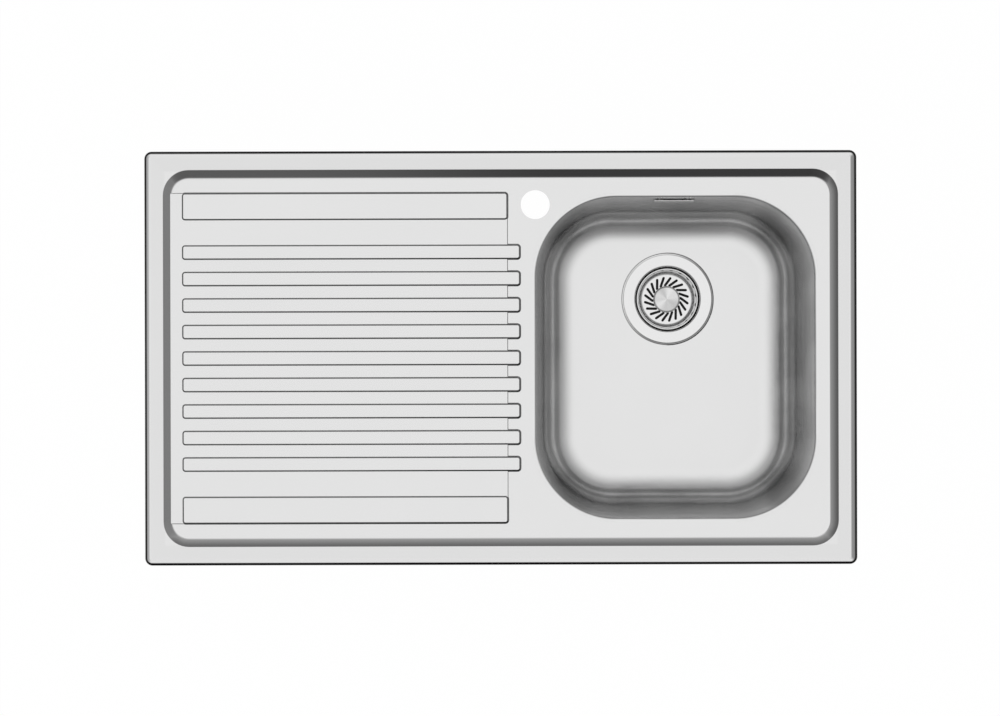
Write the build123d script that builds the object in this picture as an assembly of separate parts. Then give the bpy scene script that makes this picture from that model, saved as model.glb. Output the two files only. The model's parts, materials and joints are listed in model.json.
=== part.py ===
from build123d import *
import math
import os

os.makedirs("parts", exist_ok=True)

# Inset kitchen sink: drainer towards -X, bowl towards +X, tap hole and overflow towards +Y.
# The origin is the centre of the rim outline, and z = 0 is the worktop's surface.

# ---- deck ----
deck_length = 860.0
deck_width = 500.0
deck_corner_radius = 9.0
sheet = 1.0
rim_height = 6.0
rim_shoulder_radius = 4.0
lip_clearance = 0.4  # between the turned-down lip and the worktop
rim_border = 22.5
recess_corner_radius = 31.0
recess_slope_width = 10.3
recess_depth = 5.0
recess_upper_fold = 2.5
recess_lower_fold = 9.0

# ---- bowl ----
bowl_length = 342.0
bowl_side_margin = 48.0  # from the deck's right edge to the bowl
bowl_end_margin = 53.5  # from the deck's front and rear edges to the bowl
bowl_corner_radius = 100.0
bowl_depth = 160.0
bowl_fold = 3.0
bowl_lip = 2.0  # flat band from the fold to the weld
wall_draft = 5.0  # degrees
floor_fillet = 43.0

# ---- drainer ----
field_rise = 0.8  # the drainer field stands above the deck round the bowl
field_gap = 32.0  # from the drainer field's step to the bowl
field_margin = 50.8  # from the deck's front and rear edges to the drainer field
field_corner_radius = 6.0
drainer_margin = 46.0  # from the deck's left edge to the bars and pads
bar_count = 9
bar_pitch = 32.0
bar_width = 16.2
bar_overhang = 15.0  # of the bars beyond the drainer field's step
pad_width = 31.4
pad_margin = 66.7  # from the deck's front and rear edges to a pad's middle
panel_height = 1.7
panel_slope = 45.0  # degrees
panel_corner_radius = 3.0
panel_fold = 0.9

# ---- tap hole ----
tap_hole_radius = 17.5
tap_hole_offset = 2.0  # from the bowl's left side
tap_hole_margin = 65.0  # from the deck's rear edge

# ---- rim gasket ----
rim_overlap = 10.0  # of the deck over the edge of the worktop's cut-out
cutout_corner_radius = 4.5
gasket_overhang = 6.0  # beyond the cut-out's edge

# ---- clip rails ----
rail_edge_distance = 38.0  # from the deck's edge to a rail's middle
rail_width = 12.0
rail_height = 8.0
rail_wall = 1.0
rail_slot = 6.8
rail_end_distance = 54.0  # from the deck's edge to a rail's end

# ---- fixing clips ----
screw_radius = 3.0
screw_length = 56.0
screw_end_chamfer = 0.75
screw_head_length = 14.0
screw_head_height = 2.5
rail_play = 0.3  # each side of the screw head
thread_clearance = 0.1
claw_hole_clearance = 0.3
stack_gap = 0.1  # between claw, carrier washer and wing nut
claw_tip_drop = 43.0  # from the worktop's surface to the claw's teeth, open
claw_plate = 2.0
claw_bend = 1.0
claw_width = 14.0
claw_reach = 34.0
claw_tail = 8.0
claw_tooth_height = 8.0
claw_tooth_notch = 4.0
carrier_radius = 6.5
carrier_thickness = 1.2
nut_barrel_radius = 5.0
nut_foot_radius = 4.0
nut_height = 6.0
wing_span = 22.0
wing_height = 9.0
wing_thickness = 2.0
wing_corner_radius = 3.0
wing_top_gap = 1.0  # from the nut's top to its wings
clip_end_distance = 120.0  # from the deck's left and right edges to the outer clips
clip_middle_x = -20.0

# ---- sound pads ----
sound_pad_thickness = 3.0
bowl_pad_length = 200.0
bowl_pad_width = 110.0
bowl_pad_gap = 18.5  # from the waste's seat
drainer_pad_length = 260.0
drainer_pad_width = 220.0
sound_pad_corner_radius = 15.0

# ---- waste: seat, cup and seals ----
waste_distance = 122.65  # from the bowl's rear side to the waste's axis
waste_hole_radius = 44.0
seat_radius = 57.5
seat_fold = 1.2
flange_radius = 56.0
flange_sheet = 1.0
flange_edge_fold = 0.6
flange_seal_thickness = 1.5
seal_inset = 1.5  # from the waste hole's edge and from the flange's edge
cup_radius = 41.0
cup_fold = 2.0
cup_floor_radius = 36.0
cup_depth = 36.0
cup_floor_fillet = 4.0
cup_outlet_radius = 21.0
collar_depth = 5.0
spoke_count = 4
spoke_width = 4.0
spoke_height = 2.0
hub_radius = 9.0
hub_height = 5.0
hub_drop = 2.0
lower_seal_thickness = 3.0

# ---- waste: body under the bowl ----
body_flange_radius = 57.0
body_flange_thickness = 4.0
body_wall = 3.0
body_clearance = 2.0  # round the cup
body_cup_drop = 46.0
body_funnel_drop = 62.0
outlet_radius = 23.9
outlet_wall = 3.4
outlet_length = 24.0
body_hub_radius = 10.0
body_hub_height = 9.0
body_rib_count = 3
body_rib_width = 3.5
spigot_drop = 28.0
spigot_reach = 62.0  # from the waste's axis to the end of the spigot's collar

# ---- waste: screw and nut ----
waste_screw_radius = 6.0
waste_screw_head_radius = 7.6
waste_screw_head_height = 2.4
waste_screw_head_chamfer = 0.6
screw_socket_depth = 22.0
waste_nut_width = 16.0
waste_nut_height = 5.0
part_clearance = 0.1

# ---- strainer basket ----
basket_rim_radius = 38.9
basket_wall_radius = 37.6
basket_floor_radius = 34.6
basket_rim_drop = 6.0
basket_floor_drop = 26.0
basket_sheet = 0.8
basket_rim_height = 1.9
basket_rim_fold = 1.0
basket_fillet = 5.0
slot_count = 20
slot_width = 3.2
slot_inner_radius = 17.9
slot_outer_radius = 27.2
slot_lead = 16.0  # degrees by which a slot's inner end leads its outer end
slot_phase = 97.4  # degrees, outer end of the first slot
knob_radius = 16.8
knob_height = 7.0
knob_foot_radius = 9.0
knob_dome_height = 3.5
knob_dome_fillet = 2.8
stem_radius = 3.0
stem_fit = 0.05
stem_chamfer = 1.0
stem_reach = 53.0
stopper_radius = 31.0
stopper_lip = 3.0
stopper_boss_radius = 11.0
stopper_recess_radius = 17.5
stopper_recess_depth = 4.2
stopper_gap = 0.3
stem_clip_height = 8.0
stem_clip_slot = 1.2
stem_clip_wall = 0.8
socket_fit = 0.1

# ---- overflow ----
overflow_drop = 27.0  # from the deck to the overflow's middle
overflow_cover_length = 50.0
overflow_cover_height = 17.0
overflow_cover_sheet = 1.0
overflow_cover_corner = 1.5
overflow_standoff = 1.5
overflow_cover_fold = 0.6
overflow_slot_length = 44.0
overflow_slot_height = 12.0
overflow_slot_corner = 5.5
overflow_hole_corner = 2.0
overflow_hole_margin = 0.5  # of the seal's hole round the slot
overflow_flange_length = 62.0
overflow_flange_height = 24.0
overflow_flange_thickness = 3.0
overflow_flange_corner = 4.0
overflow_seal_thickness = 2.0
chamber_depth = 14.0
chamber_wall = 2.0
chamber_corner = 3.0
overflow_screw_radius = 1.9
overflow_screw_head_radius = 3.6
overflow_screw_length = 12.5
overflow_screw_spacing = 33.0
boss_wall = 1.6
elbow_distance = 25.5  # from the bowl's rear side to the elbow's upright axis
elbow_radius = 10.5
elbow_bore_radius = 6.5
elbow_drop = 15.0  # from the overflow's middle to the collar

# ---- overflow hose ----
collar_radius = 11.5
collar_length = 10.0
spigot_radius = 7.9
spigot_length = 12.0
hose_bore_radius = 8.0
hose_cuff_radius = 10.0
hose_root_radius = 9.2
hose_rib_radius = 10.8
hose_bend_radius = 58.0
hose_cuff_length = 22.0
rib_pitch = 4.0
rib_crest = 1.2
rib_flank = 0.9
nut_wall = 3.0
nut_lip = 3.0
nut_lug_count = 8
nut_lug_radius = 1.4

# ---- earth bonding ----
earth_tag_gap = 14.0  # from the bowl's left side
earth_tag_margin = 85.0  # from the deck's front edge
earth_tag_width = 14.0
earth_tag_drop = 20.0
earth_tag_sheet = 1.5
earth_screw_radius = 2.5
earth_screw_length = 12.0
earth_head_radius = 4.6
earth_head_height = 3.0
earth_nut_width = 8.0
earth_nut_height = 4.0

# ---- working allowances ----
cut_margin = 1.0  # by which a cutting shape runs past what it cuts
tolerance = 0.01  # within which an edge counts as lying at a place

# ---- levels and places that follow from the sizes ----
bowl_width = deck_width - 2 * bowl_end_margin
bowl_centre_x = deck_length / 2 - bowl_side_margin - bowl_length / 2
bowl_left_x = bowl_centre_x - bowl_length / 2
field_end_x = bowl_left_x - field_gap
field_width = deck_width - 2 * field_margin
drainer_left_x = drainer_margin - deck_length / 2
bar_right_x = field_end_x + bar_overhang
pad_centre_y = deck_width / 2 - pad_margin
tap_hole_x = bowl_left_x + tap_hole_offset
tap_hole_y = deck_width / 2 - tap_hole_margin
cutout_length = deck_length - 2 * rim_overlap
cutout_width = deck_width - 2 * rim_overlap
clip_spread_x = deck_length / 2 - clip_end_distance
waste_y = bowl_width / 2 - waste_distance
bowl_pad_y = waste_y - seat_radius - sheet - bowl_pad_gap - bowl_pad_width / 2
drainer_pad_x = (drainer_left_x + field_end_x) / 2
elbow_y = bowl_width / 2 + elbow_distance
earth_tag_x = bowl_left_x - earth_tag_gap
earth_tag_y = earth_tag_margin - deck_width / 2
deck_top = rim_height - recess_depth
deck_underside = deck_top - sheet
field_top = deck_top + field_rise
field_underside = field_top - sheet
panel_top = field_top + panel_height
recess_angle = math.degrees(math.atan(recess_slope_width / recess_depth))  # from the vertical
slope_shift = sheet * math.tan(math.radians(90 - recess_angle) / 2)
panel_shift = sheet * math.tan(math.radians(panel_slope) / 2)
bowl_floor = deck_top - bowl_depth
draft_tangent = math.tan(math.radians(wall_draft))
wall_inset = bowl_fold / math.tan(math.radians(90 + wall_draft) / 2)  # from the bowl's outline to its wall
bowl_underside = bowl_floor - sheet
seal_top = bowl_floor - flange_sheet
seat_floor = seal_top - flange_seal_thickness
seat_underside = seat_floor - sheet
cup_floor = bowl_floor - cup_depth
hub_top = cup_floor - hub_drop
basket_floor = bowl_floor - basket_floor_drop
basket_underside = basket_floor - basket_sheet
claw_level = -claw_tip_drop - claw_tooth_height - claw_plate
carrier_level = claw_level - stack_gap - carrier_thickness
nut_level = carrier_level - stack_gap - nut_height
rail_bottom = deck_underside - rail_height
screw_head_level = rail_bottom + rail_wall
rail_x = deck_length / 2 - rail_edge_distance
rail_y = deck_width / 2 - rail_edge_distance
spigot_level = bowl_floor - spigot_drop
spigot_end_y = waste_y + spigot_reach
overflow_level = deck_top - overflow_drop
collar_top = overflow_level - elbow_drop
hose_top = collar_top - collar_length


# ---- shared shapes ----
def slab(length, width, radius, low, high, centre=(0.0, 0.0)):
    """A rounded rectangular block from one level to another."""
    return Pos(centre[0], centre[1], low) * extrude(RectangleRounded(length, width, radius), high - low)


def disc(radius, low, high, centre=(0.0, 0.0)):
    """A round upright block from one level to another."""
    return Pos(centre[0], centre[1], low) * extrude(Circle(radius), high - low)


def ring(outer, inner, low, high, centre=(0.0, 0.0)):
    """A round upright tube from one level to another."""
    return disc(outer, low, high, centre) - disc(inner, low, high, centre)


def block(x_span, y_span, z_span):
    """A box between two corners, given as its spans along X, Y and Z."""
    low = Vector(x_span[0], y_span[0], z_span[0])
    size = Vector(x_span[1], y_span[1], z_span[1]) - low
    return Pos(low + size / 2) * Box(size.X, size.Y, size.Z)


def edges_at(shape, level):
    """The edges of a shape that lie flat at one level."""
    return shape.edges().filter_by_position(Axis.Z, level - tolerance, level + tolerance)


def within(edges, length, width, centre=(0.0, 0.0)):
    """Those edges that lie wholly inside a rectangle in plan."""
    kept = []
    for edge in edges:
        box = edge.bounding_box()
        reach_x = max(abs(box.min.X - centre[0]), abs(box.max.X - centre[0]))
        reach_y = max(abs(box.min.Y - centre[1]), abs(box.max.Y - centre[1]))
        if reach_x < length / 2 and reach_y < width / 2:
            kept.append(edge)
    return kept


def turned(points):
    """A solid of revolution about Z, from a closed outline of (radius, level) points."""
    outline = make_face(Polyline(*[(r, 0, z) for r, z in points], close=True))
    return revolve(outline, Axis.Z, 360)


def at_waste(shape):
    """Moves a shape built about Z to the waste's axis."""
    return Pos(bowl_centre_x, waste_y, 0) * shape


# ---- deck sheet ----
def raised_panel(length, width, centre, base, top, shift, fold):
    """A drainer bar or pad as a solid with sloped sides; length and width hold at its middle height."""
    slope = math.tan(math.radians(panel_slope))
    middle = top - panel_height / 2
    grow = 2 * ((middle - base) / slope - shift)
    plan = RectangleRounded(length + grow, width + grow, panel_corner_radius + grow / 2)
    panel = Pos(centre[0], centre[1], base) * extrude(plan, top - base, taper=panel_slope)
    return fillet(edges_at(panel, top), fold) if fold else panel


def drainer_panels(base, top, shift, fold):
    """The nine bars and the two wide pads, upper or lower surface."""
    bar_length = bar_right_x - drainer_left_x
    bar_x = (bar_right_x + drainer_left_x) / 2
    rows = [(i - (bar_count - 1) / 2) * bar_pitch for i in range(bar_count)]
    panels = [raised_panel(bar_length, bar_width, (bar_x, y), base, top, shift, fold) for y in rows]
    pad_length = field_end_x - drainer_left_x
    pad_x = (field_end_x + drainer_left_x) / 2
    for y in (pad_centre_y, -pad_centre_y):
        panels.append(raised_panel(pad_length, pad_width, (pad_x, y), base, top, shift, fold))
    return panels


def drainer_field(base, top, shift):
    """The raised drainer field, with sloped edges; it runs out under the recess slope on the left."""
    grow = (top - base) / math.tan(math.radians(panel_slope)) - shift
    left = -deck_length / 2 + rim_border
    length = field_end_x + grow - left
    plan = RectangleRounded(length, field_width + 2 * grow, field_corner_radius + grow)
    return Pos(left + length / 2, 0, base) * extrude(plan, top - base, taper=panel_slope)


def recess(top, floor, shift):
    """The pressed recess inside the rim, from its floor up; shift widens it for the sheet's underside."""
    border = rim_border + recess_slope_width - shift
    corner = recess_corner_radius - recess_slope_width + shift
    plan = RectangleRounded(deck_length - 2 * border, deck_width - 2 * border, corner)
    return Pos(0, 0, floor) * extrude(plan, top - floor, taper=-recess_angle)


def deck_form(top, bottom, inset, shoulder, shift, upper_fold, lower_fold):
    """The deck as a solid block with its rim and recess; inset is the thickness taken off the outline."""
    form = slab(deck_length - 2 * inset, deck_width - 2 * inset, deck_corner_radius - inset, bottom, top)
    form = fillet(edges_at(form, top), shoulder)
    floor = top - recess_depth
    form -= recess(top, floor, shift)
    inner = within(edges_at(form, top), deck_length - rim_border, deck_width - rim_border)
    form = fillet(inner, upper_fold)
    return fillet(edges_at(form, floor), lower_fold)


def make_deck_sheet():
    upper = deck_form(
        rim_height, deck_underside, 0, rim_shoulder_radius, 0, recess_upper_fold, recess_lower_fold
    )
    upper += drainer_field(deck_underside, field_top, 0)
    for panel in drainer_panels(deck_underside, panel_top, 0, panel_fold):
        upper += panel
    low = deck_underside - sheet
    lower = deck_form(
        rim_height - sheet, low, sheet, rim_shoulder_radius - sheet, slope_shift,
        recess_upper_fold - sheet, recess_lower_fold + sheet,
    )
    lower += drainer_field(low, field_underside, panel_shift)
    for panel in drainer_panels(low, panel_top - sheet, panel_shift, 0):
        lower += panel
    lower -= block((-deck_length, deck_length), (-deck_width, deck_width), (low - cut_margin, deck_underside))
    sheet_metal = upper - lower - lip_trim()
    cut_low = deck_underside - cut_margin
    cut_top = panel_top + cut_margin
    sheet_metal -= bowl_rim(cut_low, cut_top)
    return sheet_metal - disc(tap_hole_radius, cut_low, cut_top, (tap_hole_x, tap_hole_y))


def lip_trim():
    """What is cut off the turned-down lip so that it clears the worktop, as a frame round the sheet."""
    low = deck_underside - cut_margin
    grow = 2 * cut_margin
    outer = slab(deck_length + grow, deck_width + grow, deck_corner_radius, low, lip_clearance)
    inset = 3 * sheet
    top = lip_clearance + cut_margin
    return outer - slab(deck_length - inset, deck_width - inset, deck_corner_radius, low - cut_margin, top)


def bowl_rim(low, top):
    """The bowl's outline with its welded lip, as a block between two levels."""
    grow = 2 * bowl_lip
    corner = bowl_corner_radius + bowl_lip
    return slab(bowl_length + grow, bowl_width + grow, corner, low, top, (bowl_centre_x, 0))


# ---- bowl ----
def bowl_form(thickness):
    """The bowl's inside as a solid, or its outside when thickness is the sheet's."""
    outset = thickness / math.cos(math.radians(wall_draft)) - wall_inset
    start = Plane((bowl_centre_x, 0, deck_top), x_dir=(1, 0, 0), z_dir=(0, 0, -1))
    plan = RectangleRounded(bowl_length + 2 * outset, bowl_width + 2 * outset, bowl_corner_radius + outset)
    form = extrude(start * plan, bowl_depth + thickness, taper=wall_draft)
    floor = bowl_floor - thickness
    form = fillet(edges_at(form, floor), floor_fillet + thickness)
    seat_low = seat_floor - thickness
    return form + disc(seat_radius + thickness, seat_low, floor + cut_margin, (bowl_centre_x, waste_y))


def make_bowl_shell():
    centre = (bowl_centre_x, 0)
    outer = bowl_form(sheet) + bowl_rim(deck_underside, deck_top)
    under_edges = edges_at(outer, deck_underside)
    under_fold = within(under_edges, bowl_length + bowl_lip, bowl_width + bowl_lip, centre)
    outer = fillet(under_fold, bowl_fold - sheet)
    shell = outer - bowl_form(0)
    top_edges = within(edges_at(shell, deck_top), bowl_length, bowl_width, centre)
    shell = fillet(top_edges, bowl_fold)
    waste_centre = (bowl_centre_x, waste_y)
    seat_span = 2 * seat_radius + seat_fold
    shell = fillet(within(edges_at(shell, bowl_floor), seat_span, seat_span, waste_centre), seat_fold)
    shell -= disc(waste_hole_radius, seat_underside - cut_margin, seat_floor + cut_margin, waste_centre)
    plan = RectangleRounded(overflow_slot_length, overflow_slot_height, overflow_slot_corner)
    return shell - extrude(overflow_plane() * plan, 2 * sheet, both=True)


def wall_y(level):
    """Where the rear wall's inner surface stands at a level."""
    return bowl_width / 2 - wall_inset - (deck_top - level) * draft_tangent


def overflow_plane():
    """A plane on the rear wall's inner surface at the overflow, with its normal pointing out of the bowl."""
    lean = math.radians(wall_draft)
    return Plane(
        (bowl_centre_x, wall_y(overflow_level), overflow_level),
        x_dir=(1, 0, 0),
        z_dir=(0, math.cos(lean), -math.sin(lean)),
    )


# ---- rim gasket, rails and pads ----
def make_rim_gasket():
    grow = 2 * gasket_overhang
    outer = slab(cutout_length + grow, cutout_width + grow, deck_corner_radius, 0, rim_height - sheet)
    return outer - slab(cutout_length, cutout_width, cutout_corner_radius, -cut_margin, rim_height)


def rail_profile():
    """The rail's C section, open downwards, in a plane across the rail."""
    outer = Rectangle(rail_width, rail_height)
    hollow = Rectangle(rail_width - 2 * rail_wall, rail_height - 2 * rail_wall)
    mouth = Pos(0, -rail_height / 2) * Rectangle(rail_slot, 3 * rail_wall)
    return outer - hollow - mouth


def make_rail(length, x, y, along_x):
    plane = Plane(
        (x, y, deck_underside - rail_height / 2),
        x_dir=(0, 1, 0) if along_x else (-1, 0, 0),
        z_dir=(1, 0, 0) if along_x else (0, 1, 0),
    )
    return extrude(plane * rail_profile(), length / 2, both=True)


def make_bowl_pad():
    low = bowl_underside - sound_pad_thickness
    centre = (bowl_centre_x, bowl_pad_y)
    return slab(bowl_pad_length, bowl_pad_width, sound_pad_corner_radius, low, bowl_underside, centre)


def make_drainer_pad():
    low = field_underside - sound_pad_thickness
    centre = (drainer_pad_x, 0)
    return slab(drainer_pad_length, drainer_pad_width, sound_pad_corner_radius, low, field_underside, centre)


# ---- fixing clips: each is built about its screw, pointing along +X ----
def clip_places():
    """Each clip's place and the direction, in degrees, in which its claw points outwards."""
    along = (-clip_spread_x, clip_middle_x, clip_spread_x)
    rear = [(x, rail_y, 90.0) for x in along]
    front = [(x, -rail_y, -90.0) for x in along]
    return rear + front + [(-rail_x, 0.0, 180.0), (rail_x, 0.0, 0.0)]


def place_clip(shape, place):
    return Pos(place[0], place[1], 0) * Rot(0, 0, place[2]) * shape


def clip_screw():
    """A T-headed screw that hangs in its rail."""
    head_width = rail_width - 2 * rail_wall - 2 * rail_play
    head_middle = screw_head_level + screw_head_height / 2
    head = Pos(0, 0, head_middle) * Box(head_width, screw_head_length, screw_head_height)
    shank = disc(screw_radius, screw_head_level - screw_length, screw_head_level)
    shank = chamfer(edges_at(shank, screw_head_level - screw_length), screw_end_chamfer)
    return head + shank


def cross_edge(strip, x, z):
    """The strip's edge along Y at one place in its side view."""
    along_y = strip.edges().filter_by(Axis.Y)
    return [e for e in along_y if abs(e.center().X - x) < tolerance and abs(e.center().Z - z) < tolerance]


def claw():
    """A bent strip with an upturned, toothed outer end."""
    side = (-claw_width / 2, claw_width / 2)
    plate = block((-claw_tail, claw_reach), side, (claw_level, claw_level + claw_plate))
    tip = claw_level + claw_plate + claw_tooth_height
    upturn = block((claw_reach - claw_plate, claw_reach), side, (claw_level, tip))
    strip = plate + upturn
    strip = fillet(cross_edge(strip, claw_reach - claw_plate, claw_level + claw_plate), claw_bend)
    strip = fillet(cross_edge(strip, claw_reach, claw_level), claw_bend + claw_plate)
    notch = Pos(claw_reach - claw_plate / 2, 0, tip) * Rot(0, 90, 0) * Rot(0, 0, 45)
    strip -= notch * Box(claw_tooth_notch, claw_tooth_notch, 2 * claw_plate)
    hole_top = claw_level + claw_plate + cut_margin
    return strip - disc(screw_radius + claw_hole_clearance, claw_level - cut_margin, hole_top)


def carrier_washer():
    top = carrier_level + carrier_thickness
    return ring(carrier_radius, screw_radius + thread_clearance, carrier_level, top)


def wing_nut():
    """A tapered barrel with two upright wings that point downwards."""
    top = nut_level + nut_height
    barrel = turned([
        (0, nut_level), (nut_foot_radius, nut_level), (nut_barrel_radius, top), (0, top),
    ])
    wing_middle = top - wing_top_gap - wing_height / 2
    wing_plan = Plane.XZ * Pos(0, wing_middle) * RectangleRounded(wing_span, wing_height, wing_corner_radius)
    wings = extrude(wing_plan, wing_thickness / 2, both=True)
    wings -= disc(nut_foot_radius, nut_level - wing_height, nut_level)
    return barrel + wings - disc(screw_radius + thread_clearance, nut_level - wing_height, top + cut_margin)


# ---- waste ----
def make_flange_seal():
    return at_waste(ring(flange_radius - seal_inset, waste_hole_radius + seal_inset, seat_floor, seal_top))


def make_lower_seal():
    low = seat_underside - lower_seal_thickness
    seal = ring(body_flange_radius - seal_inset, waste_hole_radius + seal_inset, low, seat_underside)
    return at_waste(seal)


def make_strainer_cup():
    """The polished flange, the cup under it and the spider that takes the waste screw."""
    flange = disc(flange_radius, seal_top, bowl_floor)
    flange = fillet(edges_at(flange, bowl_floor), flange_edge_fold)
    drop = cup_floor - flange_sheet
    outside = turned([
        (0, drop), (cup_floor_radius + flange_sheet, drop),
        (cup_radius + flange_sheet, seal_top), (0, seal_top),
    ])
    outside = fillet(edges_at(outside, drop), cup_floor_fillet + flange_sheet)
    collar_low = cup_floor - collar_depth
    cup = flange + outside + disc(cup_outlet_radius + flange_sheet, collar_low, cup_floor)
    inside = turned([
        (0, cup_floor), (cup_floor_radius, cup_floor), (cup_radius, bowl_floor), (0, bowl_floor),
    ])
    inside = fillet(edges_at(inside, cup_floor), cup_floor_fillet)
    cup -= inside + disc(cup_outlet_radius, collar_low - cut_margin, cup_floor + cut_margin)
    mouth_span = 2 * cup_radius + flange_sheet
    cup = fillet(within(edges_at(cup, bowl_floor), mouth_span, mouth_span), cup_fold)
    hub_low = hub_top - hub_height
    hub = disc(hub_radius, hub_low, hub_top)
    for i in range(spoke_count):
        spoke = block((0, cup_outlet_radius + flange_sheet / 2), (-spoke_width / 2, spoke_width / 2),
                      (collar_low, collar_low + spoke_height))
        hub += Rot(0, 0, i * 360 / spoke_count) * spoke
    cup += hub
    screw_hole = disc(waste_screw_radius + part_clearance, hub_low - cut_margin, hub_top + cut_margin)
    return at_waste(cup - screw_hole)


def make_waste_body():
    """The plastic body that clamps the cup to the bowl, with the outlet and the overflow's side inlet."""
    top = seat_underside - lower_seal_thickness
    inner = cup_radius + flange_sheet + body_clearance
    outer = inner + body_wall
    cup_low = bowl_floor - body_cup_drop
    funnel_low = bowl_floor - body_funnel_drop
    outlet_low = funnel_low - outlet_length
    outlet_inner = outlet_radius - outlet_wall
    form = turned([
        (0, outlet_low), (outlet_radius, outlet_low), (outlet_radius, funnel_low), (outer, cup_low),
        (outer, top - body_flange_thickness), (body_flange_radius, top - body_flange_thickness),
        (body_flange_radius, top), (0, top),
    ])
    form += spigot_pipe(elbow_radius, collar_radius, spigot_radius)
    mouth_low = outlet_low - cut_margin
    mouth_top = top + cut_margin
    hollow = turned([
        (0, mouth_low), (outlet_inner, mouth_low), (outlet_inner, funnel_low + body_wall),
        (inner, cup_low + body_wall), (inner, mouth_top), (0, mouth_top),
    ])
    form -= hollow
    bore = Plane((0, 0, spigot_level), x_dir=(1, 0, 0), z_dir=(0, 1, 0)) * Circle(elbow_bore_radius)
    form -= extrude(bore, spigot_reach + spigot_length + cut_margin)
    hub_low = waste_hub_bottom()
    spider = disc(body_hub_radius, hub_low, hub_low + body_hub_height)
    for i in range(body_rib_count):
        rib = block((0, outlet_inner + outlet_wall / 2), (-body_rib_width / 2, body_rib_width / 2),
                    (hub_low, hub_low + body_hub_height / 2))
        spider += Rot(0, 0, 90 + i * 360 / body_rib_count) * rib
    hole_top = hub_low + body_hub_height + cut_margin
    spider -= disc(waste_screw_radius + part_clearance, hub_low - cut_margin, hole_top)
    return at_waste(form + spider)


def spigot_pipe(pipe, collar, spigot):
    """The side inlet along +Y: a pipe, a threaded collar and the spigot that the hose's cuff slides over."""
    start = Plane((0, 0, spigot_level), x_dir=(1, 0, 0), z_dir=(0, 1, 0))
    collar_start = spigot_reach - collar_length
    shape = extrude(start.offset(cup_radius) * Circle(pipe), collar_start - cup_radius)
    shape += extrude(start.offset(collar_start) * Circle(collar), collar_length)
    return shape + extrude(start.offset(spigot_reach) * Circle(spigot), spigot_length)


def waste_hub_bottom():
    return bowl_floor - body_funnel_drop - body_hub_height / 2


def make_waste_screw():
    """A hollow-headed screw; its bore is the socket of the basket's stem."""
    end = waste_hub_bottom() - waste_nut_height
    head_top = hub_top + waste_screw_head_height
    screw = disc(waste_screw_head_radius, hub_top, head_top)
    screw = chamfer(edges_at(screw, head_top), waste_screw_head_chamfer)
    screw += disc(waste_screw_radius, end, hub_top)
    socket_radius = stem_radius + stem_clip_wall + socket_fit
    return at_waste(screw - disc(socket_radius, head_top - screw_socket_depth, head_top + cut_margin))


def make_waste_nut():
    """The hexagonal nut under the waste body's hub."""
    top = waste_hub_bottom()
    low = top - waste_nut_height
    plan = RegularPolygon(waste_nut_width / 2, 6, major_radius=False)
    blank = Pos(0, 0, low) * extrude(plan, waste_nut_height)
    return at_waste(blank - disc(waste_screw_radius + part_clearance, low - cut_margin, top + cut_margin))


# ---- strainer basket ----
def make_basket_cup():
    """The slotted basket: rolled rim, sloped wall and flat floor."""
    rim_top = bowl_floor - basket_rim_drop
    rim_low = rim_top - basket_rim_height
    outside = turned([
        (0, basket_underside), (basket_floor_radius, basket_underside), (basket_wall_radius, rim_low),
        (basket_rim_radius, rim_low), (basket_rim_radius, rim_top), (0, rim_top),
    ])
    outside = fillet(edges_at(outside, basket_underside), basket_fillet)
    inside = turned([
        (0, basket_floor), (basket_floor_radius - basket_sheet, basket_floor),
        (basket_wall_radius - basket_sheet, rim_top), (0, rim_top),
    ])
    inside = fillet(edges_at(inside, basket_floor), basket_fillet - basket_sheet)
    cup = outside - inside
    cup = fillet(edges_at(cup, rim_top), basket_rim_fold)
    for i in range(slot_count):
        cup -= basket_slot(slot_phase + i * 360 / slot_count)
    stem_hole = disc(stem_radius + stem_fit, basket_underside - cut_margin, basket_floor + cut_margin)
    return at_waste(cup - stem_hole)


def basket_slot(angle):
    """One slanted slot through the basket's floor; angle is that of its outer end."""
    outer = Vector(slot_outer_radius, 0).rotate(Axis.Z, angle)
    inner = Vector(slot_inner_radius, 0).rotate(Axis.Z, angle + slot_lead)
    run = outer - inner
    tilt = math.degrees(math.atan2(run.Y, run.X))
    plan = SlotCenterToCenter(run.length, slot_width)
    middle = (outer + inner) / 2
    cutter = extrude(plan, basket_sheet + 2 * cut_margin)
    return Pos(middle.X, middle.Y, basket_underside - cut_margin) * Rot(0, 0, tilt) * cutter


def make_basket_knob():
    """A shallow domed knob on a short foot."""
    top = basket_floor + knob_height
    knob = turned([
        (0, basket_floor), (knob_foot_radius, basket_floor), (knob_foot_radius, top - knob_dome_height),
        (knob_radius, top - knob_dome_height), (knob_radius, top), (0, top),
    ])
    knob = fillet(edges_at(knob, top), knob_dome_fillet)
    return at_waste(knob - disc(stem_radius + stem_fit, basket_floor - cut_margin, stem_top() + stem_fit))


def stem_top():
    return basket_floor + knob_height - knob_dome_height / 2 - stem_fit


def make_basket_stem():
    low = bowl_floor - stem_reach
    stem = disc(stem_radius, low, stem_top())
    return at_waste(chamfer(edges_at(stem, low), stem_chamfer))


def make_stopper_seal():
    """The rubber stopper under the basket, hollowed to clear the waste screw's head."""
    top = basket_underside - stack_gap
    low = cup_floor + stopper_gap
    lip_top = low + stopper_lip
    seal = turned([
        (0, low), (stopper_radius, low), (stopper_radius, lip_top),
        (stopper_boss_radius, lip_top + stopper_lip), (stopper_boss_radius, top), (0, top),
    ])
    seal -= disc(stopper_recess_radius, low - cut_margin, low + stopper_recess_depth)
    return at_waste(seal - disc(stem_radius + stem_fit, low, top + cut_margin))


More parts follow.
